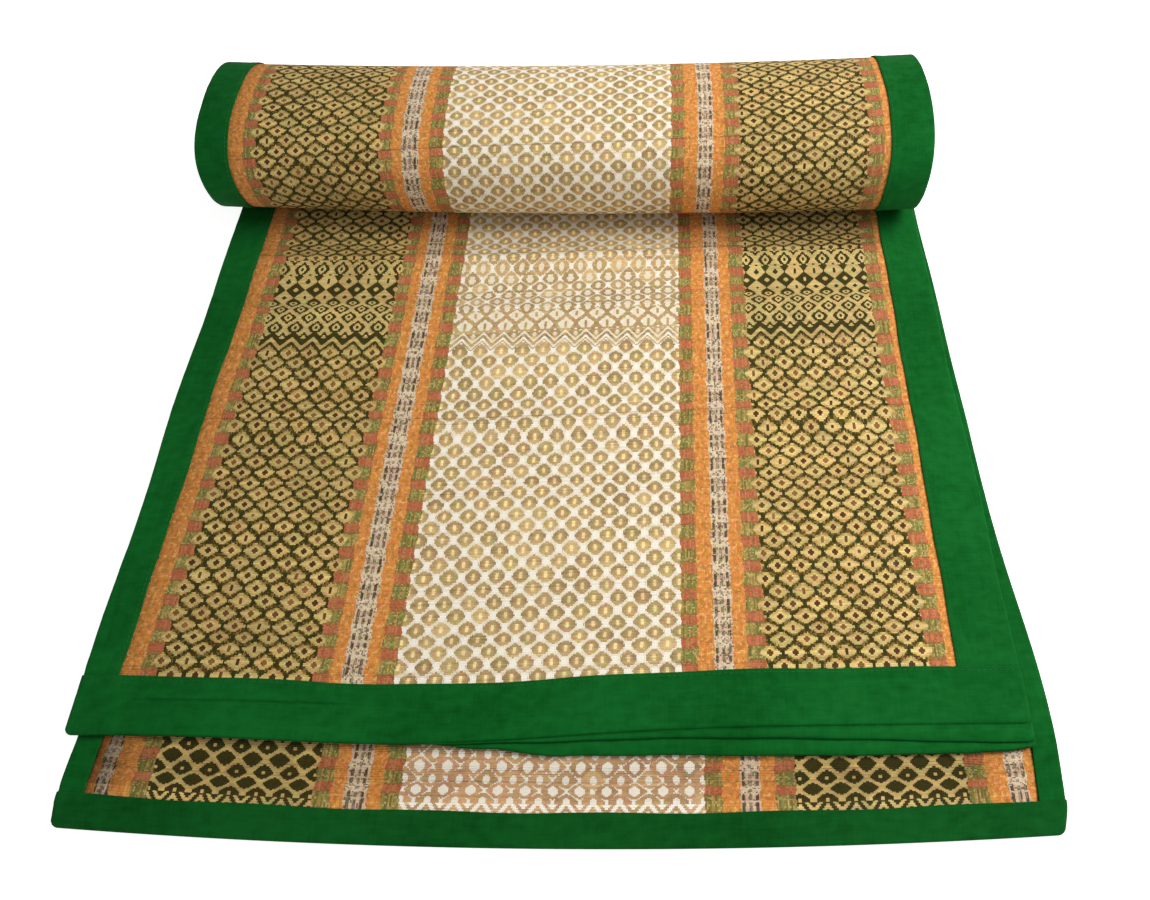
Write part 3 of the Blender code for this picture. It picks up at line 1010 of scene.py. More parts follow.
def new_group(name, inputs, colours, values):
    """An empty node group with its inputs, and a way to set its outputs."""
    tree = bpy.data.node_groups.new(name, "ShaderNodeTree")
    for label in inputs:
        tree.interface.new_socket(name=label, in_out="INPUT", socket_type="NodeSocketFloat")
    for label in colours:
        tree.interface.new_socket(name=label, in_out="OUTPUT", socket_type="NodeSocketColor")
    for label in values:
        tree.interface.new_socket(name=label, in_out="OUTPUT", socket_type="NodeSocketFloat")
    given = tree.nodes.new("NodeGroupInput")
    results = tree.nodes.new("NodeGroupOutput")
    return tree, [Flow(tree, given.outputs[label]) for label in inputs], results


def use_group(tree, group, values):
    """Place a group in a material and feed its inputs by name."""
    node = tree.nodes.new("ShaderNodeGroup")
    node.node_tree = group
    for label, value in values.items():
        feed(tree, node.inputs[label], value)
    return node


class Stripes:
    """The weave's stripes as steps across it, the dark panels wider by an overlap."""

    def __init__(self, across, overlap=0.0):
        self.passed = []
        for (_, before), (left, kind) in zip(STRIPES, STRIPES[1:]):
            edge = left + overlap * ((before == DARK) - (kind == DARK))
            self.passed.append(across.above(edge))

    def step(self, values):
        """One value for each stripe in turn."""
        total = values[0]
        for passed, before, value in zip(self.passed, values, values[1:]):
            if value != before:
                total = passed.math("MULTIPLY_ADD", value - before, total)
        return total

    def inside(self, *kinds):
        """1 in the given kinds of stripes and 0 in the others."""
        return self.step([float(kind in kinds) for _, kind in STRIPES])

    def phase(self):
        """Where the figures stand across each stripe, as a share of a figure's width."""
        rights = [left for left, _ in STRIPES[1:]] + [MAT_WIDTH / 2]
        values = []
        for (left, kind), right in zip(STRIPES, rights):
            middle = (left + right) / 2 / FIGURE_WIDTH
            values.append(((0.5 if kind == DARK else 0.0) - middle) % 1.0)
        return self.step(values)


def figure_cells(tree, place, row):
    """The thread and reed at a place, and how far they lie from their figure's middle."""
    column = ((place * THREADS).floor() + 0.5) * (1 / THREADS)
    reed = (row * REEDS).floor()
    line = (reed + 0.5) * (1 / REEDS)
    climb = (column + line * 0.5 + 0.5).floor()
    fall = (column - line * 0.5 + 0.5).floor()
    middle = (climb + fall) * 0.5
    ahead = line - climb + fall
    return SimpleNamespace(
        column=column,
        reed=reed,
        aside=(column - middle).size(),
        ahead=ahead,
        beyond=ahead.size(),
        between=middle.from_whole().above(0.25),
        chances=chances(tree, (climb, fall, 1.0)),
        sizes=chances(tree, (climb, fall, 6.0)),
    )


def form(cells, half_width, half_height, roundness, roundness_along):
    """A form about the figure's middle: below 1 inside it, and above 1 outside."""
    wide = (cells.aside * (1 / half_width)).power(roundness)
    return wide + (cells.beyond * (1 / half_height)).power(roundness_along)


def near(place, half_width):
    """1 at the middle of a form, falling to 0 at a half width."""
    return place.range(0.0, half_width, 1.0, 0.0)


def where_four_meet(cells):
    """1 where four figures meet, and 0 between two."""
    return (cells.aside * 2 - cells.beyond).size().range(0.35, 0.75, 0.0, 1.0)


def dark_threads(settings, cells, cloud, tone, turned):
    """The dark panels' threads: green where four figures meet, brown and broken between two."""
    corner = where_four_meet(cells)
    green_share = corner.larger(cloud.range(0.45, 0.6, 0.0, 1.0)).larger(turned * 0.8)
    dark = mixed(green_share, settings.dark_stroke, settings.dark_thread)
    broken = tone.above(0.68) * corner.opposite() * turned.opposite() * 0.45
    return mixed(broken, dark, settings.straw)


def orange_threads(tree, settings, thread, row, from_row, cloud):
    """The orange stripes' threads: deeper and lighter patches, redder beside the red blocks."""
    patch = cloud.range(0.38, 0.56, 0.0, 1.0)
    orange = mixed(patch, settings.orange_shade, settings.orange_thread)
    glint = noise(tree, (thread * 0.45, row * 3.1, 14.0), 1.0, 1.0).range(0.52, 0.70, 0.0, 0.8)
    orange = mixed(glint, orange, settings.orange_light)
    return mixed(near(from_row, 0.30) * 0.22, orange, settings.red_light)


def block_threads(settings, from_row, frayed, thread_tone, other_tone, tone):
    """The blocks' threads: red on every other row of figures, and green on the rows between."""
    red_share = other_tone.range(0.3, 1.0, 0.0, 0.8)
    red = mixed(red_share, settings.red_thread, settings.red_light)
    red = mixed(tone.above(0.80) * 0.5, red, settings.dark_stroke)
    green_share = thread_tone.range(0.3, 1.0, 0.0, 0.85)
    green = mixed(green_share, settings.green_thread, settings.straw)
    green = mixed(other_tone.above(0.8) * 0.6, green, settings.dark_stroke)
    green = mixed(tone.above(0.78) * 0.45, green, settings.straw_light)
    blocks = mixed((from_row + frayed).above(RED_SHARE), red, green)
    edge = (from_row + frayed - RED_SHARE).size().below(BLOCK_EDGE)
    blocks = mixed(edge * 0.45, blocks, settings.dark_stroke)
    return mixed(BLOCK_BLEND, blocks, settings.straw)


def pale_threads(settings, cells, from_row, frayed, thread_tone, tone):
    """The grey stripes' threads: pale, with doubled dark dashes in three lines."""
    from_middle = cells.column.from_whole()
    outer_line = from_middle.within(*OUTER_LINE)
    dark_line = outer_line.larger(from_middle.below(MIDDLE_LINE) * 0.7)
    starts = (from_row + frayed).above(DASH[0])
    dash = starts * (from_row + frayed * 0.5).below(DASH[1]) * dark_line
    dash = dash * thread_tone.range(0.0, 0.5, 0.5, 1.0)
    pale_share = tone.range(0.4, 1.0, 0.0, 0.6)
    pale = mixed(pale_share, settings.pale_thread, settings.mauve_thread)
    pale = mixed(from_row.above(0.5) * 0.4, pale, settings.mauve_thread)
    speck = tone.below(0.16).larger(tone.below(0.30) * outer_line) * 0.75
    pale = mixed(speck, pale, settings.dash_thread)
    pale = mixed(dash * 0.9, pale, settings.dash_thread)
    mark = from_row.below(MARK) * from_middle.below(MIDDLE_LINE) * 0.55
    return mixed(mark, pale, settings.dash_thread)


def thread_colours(tree, settings, stripes, cells, thread, row, turned, reverse):
    """Colour of the warp threads, by stripe, thread and row."""
    from_row = (row * 0.5).from_whole() * 2
    frayed = noise(tree, (thread * 0.71, row * 0.5, 5.0), 1.0, 1.0).range(0.3, 0.7, -0.13, 0.13)
    _, _, tone = chances(tree, (thread, cells.reed, 3.0))
    cloud = noise(tree, (thread * 0.31, row * 1.7, 8.0), 1.0, 2.0)
    thread_tone, other_tone, _ = chances(tree, (thread, (row * 0.5 + 0.25).floor(), 9.0))
    whiter = where_four_meet(cells).larger(reverse)
    own_colours = {
        CREAM: mixed(whiter, settings.cream_stroke, settings.cream_thread),
        ORANGE: orange_threads(tree, settings, thread, row, from_row, cloud),
        BLOCKS: block_threads(settings, from_row, frayed, thread_tone, other_tone, tone),
        GREY: pale_threads(settings, cells, from_row, frayed, thread_tone, tone),
    }
    colour = dark_threads(settings, cells, cloud, tone, turned)
    for kind, own in own_colours.items():
        colour = mixed(stripes.inside(kind), colour, own)
    return colour


def reed_colours(tree, settings, in_cream, cells, across, row, outline, gold, turned, reverse):
    """Colour of the reeds: each reed has its own tone, and so has each figure, with painted
    highlights on the figures and painted light close to the roll.
    """
    figure_tone, figure_hue, _ = cells.chances
    # Painted highlights where light falls on a dark panel's figure: its near half, its middle row,
    # its far tips and a ring round its middle. The turned band takes the same lighter straw as its
    # own golden reeds.
    near_side_highlight = cells.ahead.range(-0.45, 0.10, 1.0, 0.0)
    far_tip_highlight = near(cells.aside, 0.12) * cells.beyond.range(0.36, 0.5, 0.0, 1.0)
    tip_highlight = near(cells.beyond, 0.30).larger(far_tip_highlight)
    halo_highlight = outline.range(0.25, 0.45, 0.0, 1.0) * outline.range(0.45, 0.75, 1.0, 0.0)
    light = halo_highlight.larger(tip_highlight * 0.8).larger(near_side_highlight * 0.45).larger(turned * 0.55)
    tan = mixed(light, settings.straw, settings.straw_light)
    rim = outline.range(0.03, 0.32, 0.0, 1.0)
    ring = mixed(rim, settings.pale_straw, settings.pale_rim)
    ring = mixed(cells.aside.range(0.10, 0.30, 0.0, 0.6), ring, settings.rim_shade)
    # Painted highlight on the near half of the pale panel's figures
    ring = mixed(near_side_highlight * 0.3, ring, settings.pale_straw)
    turned_ring = mixed(reverse, settings.band_straw, settings.turned_straw)
    ring = mixed(turned, ring, turned_ring)
    colour = mixed(in_cream, tan, ring)
    ripe = mixed(in_cream, settings.straw_ripe, settings.dot_gold)
    colour = mixed(figure_hue.range(0.55, 1.0, 0.0, 0.28), colour, ripe)
    colour = mixed(figure_hue.range(0.0, 0.35, 0.25, 0.0), colour, settings.straw_green)
    colour = mixed(gold * in_cream * 0.85, colour, settings.dot_gold)
    streak = noise(tree, (across * 14.0, cells.reed * 5.37, 2.0), 1.0, 3.0)
    patch = noise(tree, (across * 9.0, cells.reed * 0.015, 3.0), 1.0, 2.0)
    shade = streak.range(0.25, 0.75, 0.74, 1.26) * patch.range(0.3, 0.7, 0.92, 1.08)
    shade = shade * figure_tone.range(0.0, 1.0, 0.90, 1.12)
    # Painted light: the pale panel's reeds close to the roll are lightened against the shade under
    # it
    painted_light_near_roll = row.range(*ROLL_PAINTED_LIGHT_FROM_ROWS, 0.0, 1.0) * row.range(*ROLL_PAINTED_LIGHT_TO_ROWS, 1.0, 0.0)
    shade = shade * (painted_light_near_roll * in_cream).range(0.0, 1.0, 1.0, ROLL_PAINTED_LIGHT)
    return mixed(1.0, colour, shade.as_colour(), "MULTIPLY"), streak


def turned_figure(cells, outline, row, in_cream, reverse):
    """1 where reeds show on the reverse, or on the face where the weaver turned the figure."""
    diamond = form(cells, *TURNED_DARK) * reverse.range(0.0, 1.0, FACE_LATTICE, 1.0)
    dark_lattice = diamond.above(1.0)
    glint = form(cells, *TURNED_GLINT).below(1.0) * cells.between
    eye = diamond.within(*EYE_RING).towards(glint, reverse)
    narrower = cells.between.range(0.0, 1.0, 1.0, 1.5)
    small = (form(cells, *WHITE_OVAL) * narrower).below(1.0)
    large = (form(cells, *REVERSE_OVAL) * narrower).below(1.0)
    lattice = outline * reverse.range(0.0, 1.0, 1.0, REVERSE_LATTICE)
    white = small.towards(large, reverse).larger(lattice.above(THIN_LATTICE))
    lines = diamond.above(THIN_LINES).larger(form(cells, *CREAM_DOT).below(1.0))
    line_rows = row.within(*LINE_ROWS) * reverse.opposite()
    white = white.towards(lines.opposite(), line_rows)
    return dark_lattice.larger(eye).towards(white.opposite(), in_cream)


def zigzag_figure(zigzag, in_cream):
    """1 where reeds show in the zigzag between the plain figure and the turned one."""
    light_line = zigzag.within(*LIGHT_LINE)
    first_line = zigzag.within(*FIRST_WHITE_LINE)
    second_line = zigzag.within(*SECOND_WHITE_LINE)
    return light_line.towards(first_line.larger(second_line).opposite(), in_cream)


def woven_figure(settings):
    """Node group of the woven figure: the colour that shows at each thread and reed."""
    inputs = ("Across", "Row", "Band", "Reverse")
    tree, given, results = new_group("woven_figure", inputs, ("Colour",), ("Reed", "Height"))
    across, row, band, reverse = given
    reed_shift, reed_tone, _ = chances(tree, ((row * REEDS).floor(), 2.0, 4.0))
    scallop = (row * math.pi).sine() * SCALLOP + reed_shift.range(0.0, 1.0, -SCALLOP, SCALLOP)
    stripes = Stripes(across + scallop)
    wider = Stripes(across + scallop, FIGURE_OVERLAP)
    meander = noise(tree, (across * 22.0, row * 0.35, 11.0), 1.0, 1.0).range(0.3, 0.7, -0.05, 0.05)
    thread_place = across * (THREADS / FIGURE_WIDTH)
    thread = thread_place.floor()
    figured = stripes.inside(DARK, CREAM)
    in_cream = stripes.inside(CREAM)
    in_dark = wider.inside(DARK)
    place = across * (1 / FIGURE_WIDTH) + wider.phase() + meander * figured
    cells = figure_cells(tree, place, row)

    figure_size, dot_size, clear_dot = cells.sizes
    ragged, _, _ = chances(tree, (thread, cells.reed, 12.0))
    outline = form(cells, *DARK_FIGURE).towards(form(cells, *CREAM_FIGURE), in_cream)
    outline = outline * figure_size.range(0.0, 1.0, 1 - SIZE_UNEVENNESS, 1 + SIZE_UNEVENNESS)
    edge = outline + ragged.range(0.0, 1.0, -EDGE_RAGGEDNESS, EDGE_RAGGEDNESS)
    dot = (form(cells, *DARK_DOT) * dot_size.range(0.0, 1.0, 0.85, 1.35)).below(1.0)
    gold = form(cells, *CREAM_DOT).below(1.0)
    zigzag = band + cells.column.from_whole() * 2
    in_zigzag = zigzag.within(*ZIGZAG)
    turned = zigzag.above(ZIGZAG[1]).larger(reverse)
    greener = turned.larger(in_zigzag)
    plain_side = greener.opposite()
    in_chequer = turned * row.within(*CHEQUER_ROWS)
    chevrons = reverse * band.above(-1.0)
    plain_reeds = edge.above(1.0).larger(dot * in_cream.opposite()).opposite()
    chequer_reeds = dot.opposite().towards(dot, cells.between)
    reeds = plain_reeds.towards(turned_figure(cells, edge, row, in_cream, reverse), turned)
    reeds = reeds.towards(chequer_reeds, in_chequer * in_cream.opposite())
    reeds = reeds.towards(zigzag_figure(zigzag, in_cream), in_zigzag)
    reeds = reeds.towards((zigzag * CHEVRONS).fraction().above(CHEVRON_THREAD), chevrons)
    overlap = in_dark * cells.between * figured.opposite() * edge.below(1.0) * reverse.opposite()
    shows_reed = reeds * figured.larger(overlap)

    colour = thread_colours(tree, settings, stripes, cells, thread, row, greener, reverse)
    faint = clear_dot.range(0.35, 1.0, 0.0, 0.9)
    brown = mixed(faint, settings.dot_brown, settings.dot_faint)
    colour = mixed(dot * in_dark * outline.below(1.0) * plain_side, colour, brown)
    reed_colour, streak = reed_colours(
        tree, settings, in_cream, cells, across, row, outline, gold * plain_side, turned, reverse
    )
    colour = mixed(shows_reed, colour, reed_colour)
    fleck = random_colour(tree, (thread, cells.reed, 21.0))
    colour = mixed(FLECK, colour, fleck, "SOFT_LIGHT")

    from_thread = (thread_place.fraction() - 0.5).size() * 2
    from_reed = ((row * REEDS).fraction() - 0.5).size() * 2
    # Painted shade in the hollows between threads and between reeds; the darker reeds added to it
    # are the weave's own
    thread_gap_shade = from_thread.range(0.6, 1.0, 0.0, 0.35) * shows_reed.range(0.0, 1.0, 1.0, 0.35)
    reed_gap_shade = from_reed.range(0.55, 1.0, 0.0, 0.40)
    dark_reed = reed_tone.above(0.93) * 0.25
    for dark_row, half in DARK_REEDS:
        dark_reed = dark_reed.larger((row - dark_row).size().below(half) * 0.5)
    gap = thread_gap_shade.larger(reed_gap_shade).larger(dark_reed)
    colour = mixed(gap, colour, settings.gap_shade, "MULTIPLY")
    # Painted shade: the right panel darkens towards the roll, where less light reaches it
    deeper = across.range(*RIGHT_PAINTED_SHADE_ACROSS, 0.0, 1.0) * row.range(*RIGHT_PAINTED_SHADE_ROWS, 0.0, 1.0)
    # Painted shade: the left panel is darker, where less light reaches it
    shade = across.range(*LEFT_PAINTED_SHADE) * deeper.range(0.0, 1.0, 1.0, RIGHT_PAINTED_SHADE)
    colour = mixed(1.0, colour, shade.as_colour(), "MULTIPLY")
    height = (from_thread * from_thread).opposite() * shows_reed.opposite() * 0.5 + streak * 0.25
    height = height + (from_reed * from_reed).opposite() * 0.5
    height = height + outline.range(0.0, 1.2, 1.0, 0.0) * figured * plain_side * 0.9
    feed(tree, results.inputs["Colour"], colour)
    feed(tree, results.inputs["Reed"], shows_reed)
    feed(tree, results.inputs["Height"], height)
    return tree


def new_material(name):
    """A material with its Principled shader, ready for nodes."""
    material = bpy.data.materials.new(name)
    material.use_nodes = True
    tree = material.node_tree
    return material, tree, tree.nodes["Principled BSDF"]


def flat_place(tree):
    """Across and along on the flat cloth, read from the piece's own UV map."""
    uv_map = tree.nodes.new("ShaderNodeUVMap")
    uv_map.uv_map = "flat"
    parts = tree.nodes.new("ShaderNodeSeparateXYZ")
    tree.links.new(uv_map.outputs[0], parts.inputs[0])
    return Flow(tree, parts.outputs[0]), Flow(tree, parts.outputs[1])


def set_bump(tree, shader, height, strength, distance):
    """Raise a surface by a height that flows through the tree."""
    node = tree.nodes.new("ShaderNodeBump")
    node.inputs["Strength"].default_value = strength
    node.inputs["Distance"].default_value = distance
    feed(tree, node.inputs["Height"], height)
    tree.links.new(node.outputs[0], shader.inputs["Normal"])


def reed_weave(name, group, reverse):
    """Material of one side of the weave."""
    material, tree, shader = new_material(name)
    across, _ = flat_place(tree)
    figure = tree.nodes.new("ShaderNodeAttribute")
    figure.attribute_name = "figure"
    parts = tree.nodes.new("ShaderNodeSeparateXYZ")
    tree.links.new(figure.outputs["Vector"], parts.inputs[0])
    values = {
        "Across": across,
        "Row": Flow(tree, parts.outputs[0]),
        "Band": Flow(tree, parts.outputs[1]),
        "Reverse": reverse,
    }
    woven = use_group(tree, group, values)
    tree.links.new(woven.outputs["Colour"], shader.inputs["Base Color"])
    rough = Flow(tree, woven.outputs["Reed"]).range(0.0, 1.0, 0.85, 0.52)
    feed(tree, shader.inputs["Roughness"], rough)
    shader.inputs["Specular IOR Level"].default_value = 0.22
    set_bump(tree, shader, Flow(tree, woven.outputs["Height"]), 0.5, REED_GRAIN)
    return material


def plain_weave():
    """Node group of plain cotton cloth: its shade and relief at a place on the flat cloth."""
    tree, given, results = new_group("plain_weave", ("Across", "Along"), (), ("Shade", "Height"))
    across, along = given
    turns = 2 * math.pi / CLOTH_THREAD_SPACING
    over = (across * turns).sine() * (along * turns).sine()
    slub_across = noise(tree, (across * 60.0, along * 700.0, 0.0), 1.0, 2.0)
    slub_along = noise(tree, (across * 700.0, along * 60.0, 5.0), 1.0, 2.0)
    cloud = noise(tree, (across * 14.0, along * 14.0, 9.0), 1.0, 2.0)
    mottle = noise(tree, (across * 110.0, along * 150.0, 4.0), 1.0, 3.0)
    shade = (slub_across + slub_along) * 0.15 + cloud * 0.35 + mottle * 0.35
    feed(tree, results.inputs["Shade"], shade)
    height = over * 0.5 + (slub_across + slub_along) * 0.5 + mottle * 0.5
    feed(tree, results.inputs["Height"], height)
    return tree


def binding_cotton(name, light, dark, group):
    """Material of the bindings: dyed cotton with a fine even weave."""
    material, tree, shader = new_material(name)
    across, along = flat_place(tree)
    weave = use_group(tree, group, {"Across": across, "Along": along})
    shade = Flow(tree, weave.outputs["Shade"]).range(0.36, 0.60, 0.0, 1.0)
    colour = mixed(shade, dark, light)
    feed(tree, shader.inputs["Base Color"], colour)
    rough = shade.range(0.0, 1.0, 0.92, 0.80)
    feed(tree, shader.inputs["Roughness"], rough)
    shader.inputs["Specular IOR Level"].default_value = 0.05
    shader.inputs["Sheen Weight"].default_value = 0.01
    shader.inputs["Sheen Roughness"].default_value = 0.5
    set_bump(tree, shader, Flow(tree, weave.outputs["Height"]), 0.35, CLOTH_GRAIN)
    return material


def sewing_thread(settings):
    """Material of the seams: twisted cotton thread."""
    material, tree, shader = new_material("sewing_thread")
    place = tree.nodes.new("ShaderNodeTexCoord")
    parts = tree.nodes.new("ShaderNodeSeparateXYZ")
    tree.links.new(place.outputs["Object"], parts.inputs[0])
    x, y, z = (Flow(tree, socket) for socket in parts.outputs)
    twist = ((x + y + z) * (2 * math.pi / TWIST_SPACING)).sine()
    fleck = noise(tree, (x, y, z), 400.0)
    shade = twist.range(-1.0, 1.0, 0.0, 0.7) + fleck * 0.3
    colour = mixed(shade, settings.cloth_shade, settings.thread_colour)
    feed(tree, shader.inputs["Base Color"], colour)
    shader.inputs["Roughness"].default_value = 0.7
    set_bump(tree, shader, twist, 0.4, TWIST_GRAIN)
    return material


def side_seam(side):
    """Places of a side binding's stitches: across and along, and the way the seam runs."""
    start = END_FACE_WIDTH + STITCH_SPACING
    along = np.arange(start, MAT_LENGTH - start, STITCH_SPACING)
    edge = LEFT_FACE_EDGE if side < 0 else RIGHT_FACE_EDGE
    return edge + side * (STITCH_INSET - side_wander(along, side)), along, (0.0, 1.0)


def end_seam(upper):
    """Places of an end binding's stitches, over the side bindings too."""
    half = MAT_WIDTH / 2 - STITCH_SPACING
    across = np.arange(-half, half, STITCH_SPACING)
    inset = END_FACE_WIDTH - STITCH_INSET + end_wander(across)
    along = inset if upper else MAT_LENGTH - inset
    return across + edge_stray(along), along, (1.0, 0.0)


def seam(name, places, lift, material):
    """A row of stitches on the face: short threads that dive into the cloth at their ends."""
    across, along, (run_across, run_along) = places
    bm = bmesh.new()
    bmesh.ops.create_uvsphere(bm, u_segments=STITCH_SIDES, v_segments=STITCH_RINGS, radius=1.0)
    mesh = bpy.data.meshes.new(name)
    bm.to_mesh(mesh)
    for _ in across[1:]:
        bm.from_mesh(mesh)
    bm.to_mesh(mesh)
    bm.free()
    flat = np.empty(len(mesh.vertices) * 3)
    mesh.vertices.foreach_get("co", flat)
    round_about, over, length = np.moveaxis(flat.reshape(len(across), -1, 3), -1, 0)
    forward = length * STITCH_LENGTH / 2
    aside = round_about * STITCH_RADIUS
    rise = STITCH_STANDS + STITCH_ROUND * over - STITCH_DIVE * length**2
    out = UPPER_PLY + CLOTH / 2 + lift[:, None] + STITCH_RADIUS * rise
    points = lay(
        across[:, None] + forward * run_across + aside * run_along,
        along[:, None] + forward * run_along + aside * run_across,
        out,
    )
    mesh.vertices.foreach_set("co", points.ravel())
    bm = bmesh.new()
    bm.from_mesh(mesh)
    bmesh.ops.recalc_face_normals(bm, faces=bm.faces)
    bm.to_mesh(mesh)
    bm.free()
    mesh.shade_smooth()
    mesh.materials.append(material)
    piece = new_piece(name, mesh)


class MatWeaveSettings(bpy.types.PropertyGroup):
    """Sizes and colours of the reed weave."""

    reed_relief: FloatProperty(
        name="Reed relief",
        description="How far each reed stands above the hollow beside it",
        default=REED_RELIEF,
        unit="LENGTH",
    )
    straw: FloatVectorProperty(
        name="Straw", subtype="COLOR",
        description="Reeds in the dark panels",
        default=(0.48, 0.32, 0.090),
    )
    straw_light: FloatVectorProperty(
        name="Light straw", subtype="COLOR",
        description="Reeds where a dark panel's figure catches the light",
        default=(0.79, 0.61, 0.250),
    )
    straw_ripe: FloatVectorProperty(
        name="Ripe straw", subtype="COLOR",
        description="Redder reeds",
        default=(0.66, 0.36, 0.12),
    )
    straw_green: FloatVectorProperty(
        name="Green straw", subtype="COLOR",
        description="Greener reeds",
        default=(0.42, 0.4, 0.13),
    )
    pale_straw: FloatVectorProperty(
        name="Pale straw", subtype="COLOR",
        description="Reeds inside the pale panel's figures",
        default=(0.72, 0.51, 0.22),
    )
    pale_rim: FloatVectorProperty(
        name="Pale rim", subtype="COLOR",
        description="Reeds at the rim of the pale panel's figures",
        default=(0.46, 0.315, 0.145),
    )
    rim_shade: FloatVectorProperty(
        name="Rim shade", subtype="COLOR",
        description="Reeds at the two sides of the pale panel's figures",
        default=(0.26, 0.17, 0.07),
    )
    turned_straw: FloatVectorProperty(
        name="Turned straw", subtype="COLOR",
        description="Reeds of the pale panel where its figure is turned over",
        default=(0.57, 0.335, 0.175),
    )
    band_straw: FloatVectorProperty(
        name="Band straw", subtype="COLOR",
        description="Reeds of the pale panel in the turned band on the face",
        default=(0.47, 0.315, 0.145),
    )
    dark_thread: FloatVectorProperty(
        name="Dark thread", subtype="COLOR",
        description="Thread of the dark panels",
        default=(0.042, 0.039, 0.003),
    )
    dark_stroke: FloatVectorProperty(
        name="Dark stroke", subtype="COLOR",
        description="Thread of the dark panels between two figures",
        default=(0.100, 0.060, 0.005),
    )
    cream_thread: FloatVectorProperty(
        name="Cream thread", subtype="COLOR",
        description="Thread of the pale panel",
        default=(0.95, 0.90, 0.79),
    )
    cream_stroke: FloatVectorProperty(
        name="Cream stroke", subtype="COLOR",
        description="Thread of the pale panel between two figures",
        default=(0.86, 0.76, 0.58),
    )
    orange_thread: FloatVectorProperty(
        name="Orange thread", subtype="COLOR",
        description="Thread of the orange stripes",
        default=(0.74, 0.285, 0.062),
    )
    orange_shade: FloatVectorProperty(
        name="Orange shade", subtype="COLOR",
        description="Deeper places of the orange stripes",
        default=(0.52, 0.215, 0.04),
    )
    orange_light: FloatVectorProperty(
        name="Orange light", subtype="COLOR",
        description="Lighter places of the orange stripes",
        default=(0.92, 0.51, 0.18),
    )
    red_thread: FloatVectorProperty(
        name="Red thread", subtype="COLOR",
        description="Thread of the red blocks",
        default=(0.50, 0.105, 0.055),
    )
    red_light: FloatVectorProperty(
        name="Light red thread", subtype="COLOR",
        description="Paler thread of the red blocks",
        default=(0.62, 0.23, 0.11),
    )
    green_thread: FloatVectorProperty(
        name="Green thread", subtype="COLOR",
        description="Thread of the green blocks",
        default=(0.155, 0.190, 0.045),
    )
    pale_thread: FloatVectorProperty(
        name="Pale thread", subtype="COLOR",
        description="Pale thread of the grey stripes",
        default=(0.80, 0.66, 0.47),
    )
    mauve_thread: FloatVectorProperty(
        name="Mauve thread", subtype="COLOR",
        description="Middle thread of the grey stripes",
        default=(0.51, 0.34, 0.21),
    )
    dash_thread: FloatVectorProperty(
        name="Dash thread", subtype="COLOR",
        description="Dark thread of the grey stripes",
        default=(0.075, 0.040, 0.016),
    )
    dot_brown: FloatVectorProperty(
        name="Brown dot", subtype="COLOR",
        description="Middle of a figure in the dark panels",
        default=(0.095, 0.040, 0.008),
    )
    dot_faint: FloatVectorProperty(
        name="Faint dot", subtype="COLOR",
        description="Fainter middle of a figure in the dark panels",
        default=(0.34, 0.16, 0.045),
    )
    dot_gold: FloatVectorProperty(
        name="Gold dot", subtype="COLOR",
        description="Middle of a figure in the pale panel",
        default=(0.95, 0.74, 0.36),
    )
    # Painted shade of the hollows between reeds and threads, also the tint of the darker reeds
    gap_shade: FloatVectorProperty(
        name="Gap shade", subtype="COLOR",
        description="Tint of the hollows between reeds and threads",
        default=(0.42, 0.34, 0.26),
    )


class MatClothSettings(bpy.types.PropertyGroup):
    """Colours of the bindings and their seams."""

    cloth_colour: FloatVectorProperty(
        name="Cloth", description="Lighter threads of the bindings", subtype="COLOR",
        default=(0.0044, 0.116, 0.0170),
    )
    cloth_shade: FloatVectorProperty(
        name="Cloth shade", description="Darker threads of the bindings", subtype="COLOR",
        default=(0.0014, 0.068, 0.0078),
    )
    deep_colour: FloatVectorProperty(
        name="Deeper cloth", description="Lighter threads of the lower end's binding",
        subtype="COLOR", default=(0.0044, 0.090, 0.0130),
    )
    deep_shade: FloatVectorProperty(
        name="Deeper cloth shade", description="Darker threads of the lower end's binding",
        subtype="COLOR", default=(0.0016, 0.053, 0.0064),
    )
    thread_colour: FloatVectorProperty(
        name="Sewing thread", description="Thread of the seams", subtype="COLOR",
        default=(0.006, 0.120, 0.024),
    )


class MatStudioSettings(bpy.types.PropertyGroup):
    """Light and floor of the studio."""

    key_power: FloatProperty(
        name="Key light", description="Power of the soft light at the right",
        default=20.5, min=0.0, unit="POWER",
    )
    fill_power: FloatProperty(
        name="Fill light", description="Power of the soft light at the front right",
        default=4.0, min=0.0, unit="POWER",
    )
    world_strength: FloatProperty(
        name="Room light", description="Strength of the light from all round", default=0.30,
    )
    floor_glow: FloatProperty(
        name="Floor glow", description="Light that the white floor gives back", default=0.80,
    )
    floor_colour: FloatVectorProperty(
        name="Floor", description="Colour of the floor", subtype="COLOR",
        default=(0.65, 0.65, 0.645),
    )


class MAT_OT_weave(bpy.types.Operator):
    """Lay the reed weave in its folded and rolled form"""

    bl_idname = "mat.weave"
    bl_label = "Reed weave"

    def execute(self, context):
        settings = context.scene.mat_weave
        mesh = weave_sheet(settings)
        group = woven_figure(settings)
        mesh.materials.append(reed_weave("reed_weave_face", group, 0.0))
        mesh.materials.append(reed_weave("reed_weave_reverse", group, 1.0))
        piece = new_piece("woven_reeds", mesh)
        thicken(piece, WEAVE_BODY, back_material=1)
        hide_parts("woven_panel")
        return {"FINISHED"}


class MAT_OT_side_bindings(bpy.types.Operator):
    """Fold the cloth strips round the two long sides"""

    bl_idname = "mat.side_bindings"
    bl_label = "Side bindings"

    def execute(self, context):
        cloth = context.scene.mat_cloth
        weave = plain_weave()
        cotton = binding_cotton("binding_cotton", cloth.cloth_colour, cloth.cloth_shade, weave)
        side_binding("binding_cloth_left", -1, cotton)
        side_binding("binding_cloth_right", 1, cotton)
        return {"FINISHED"}


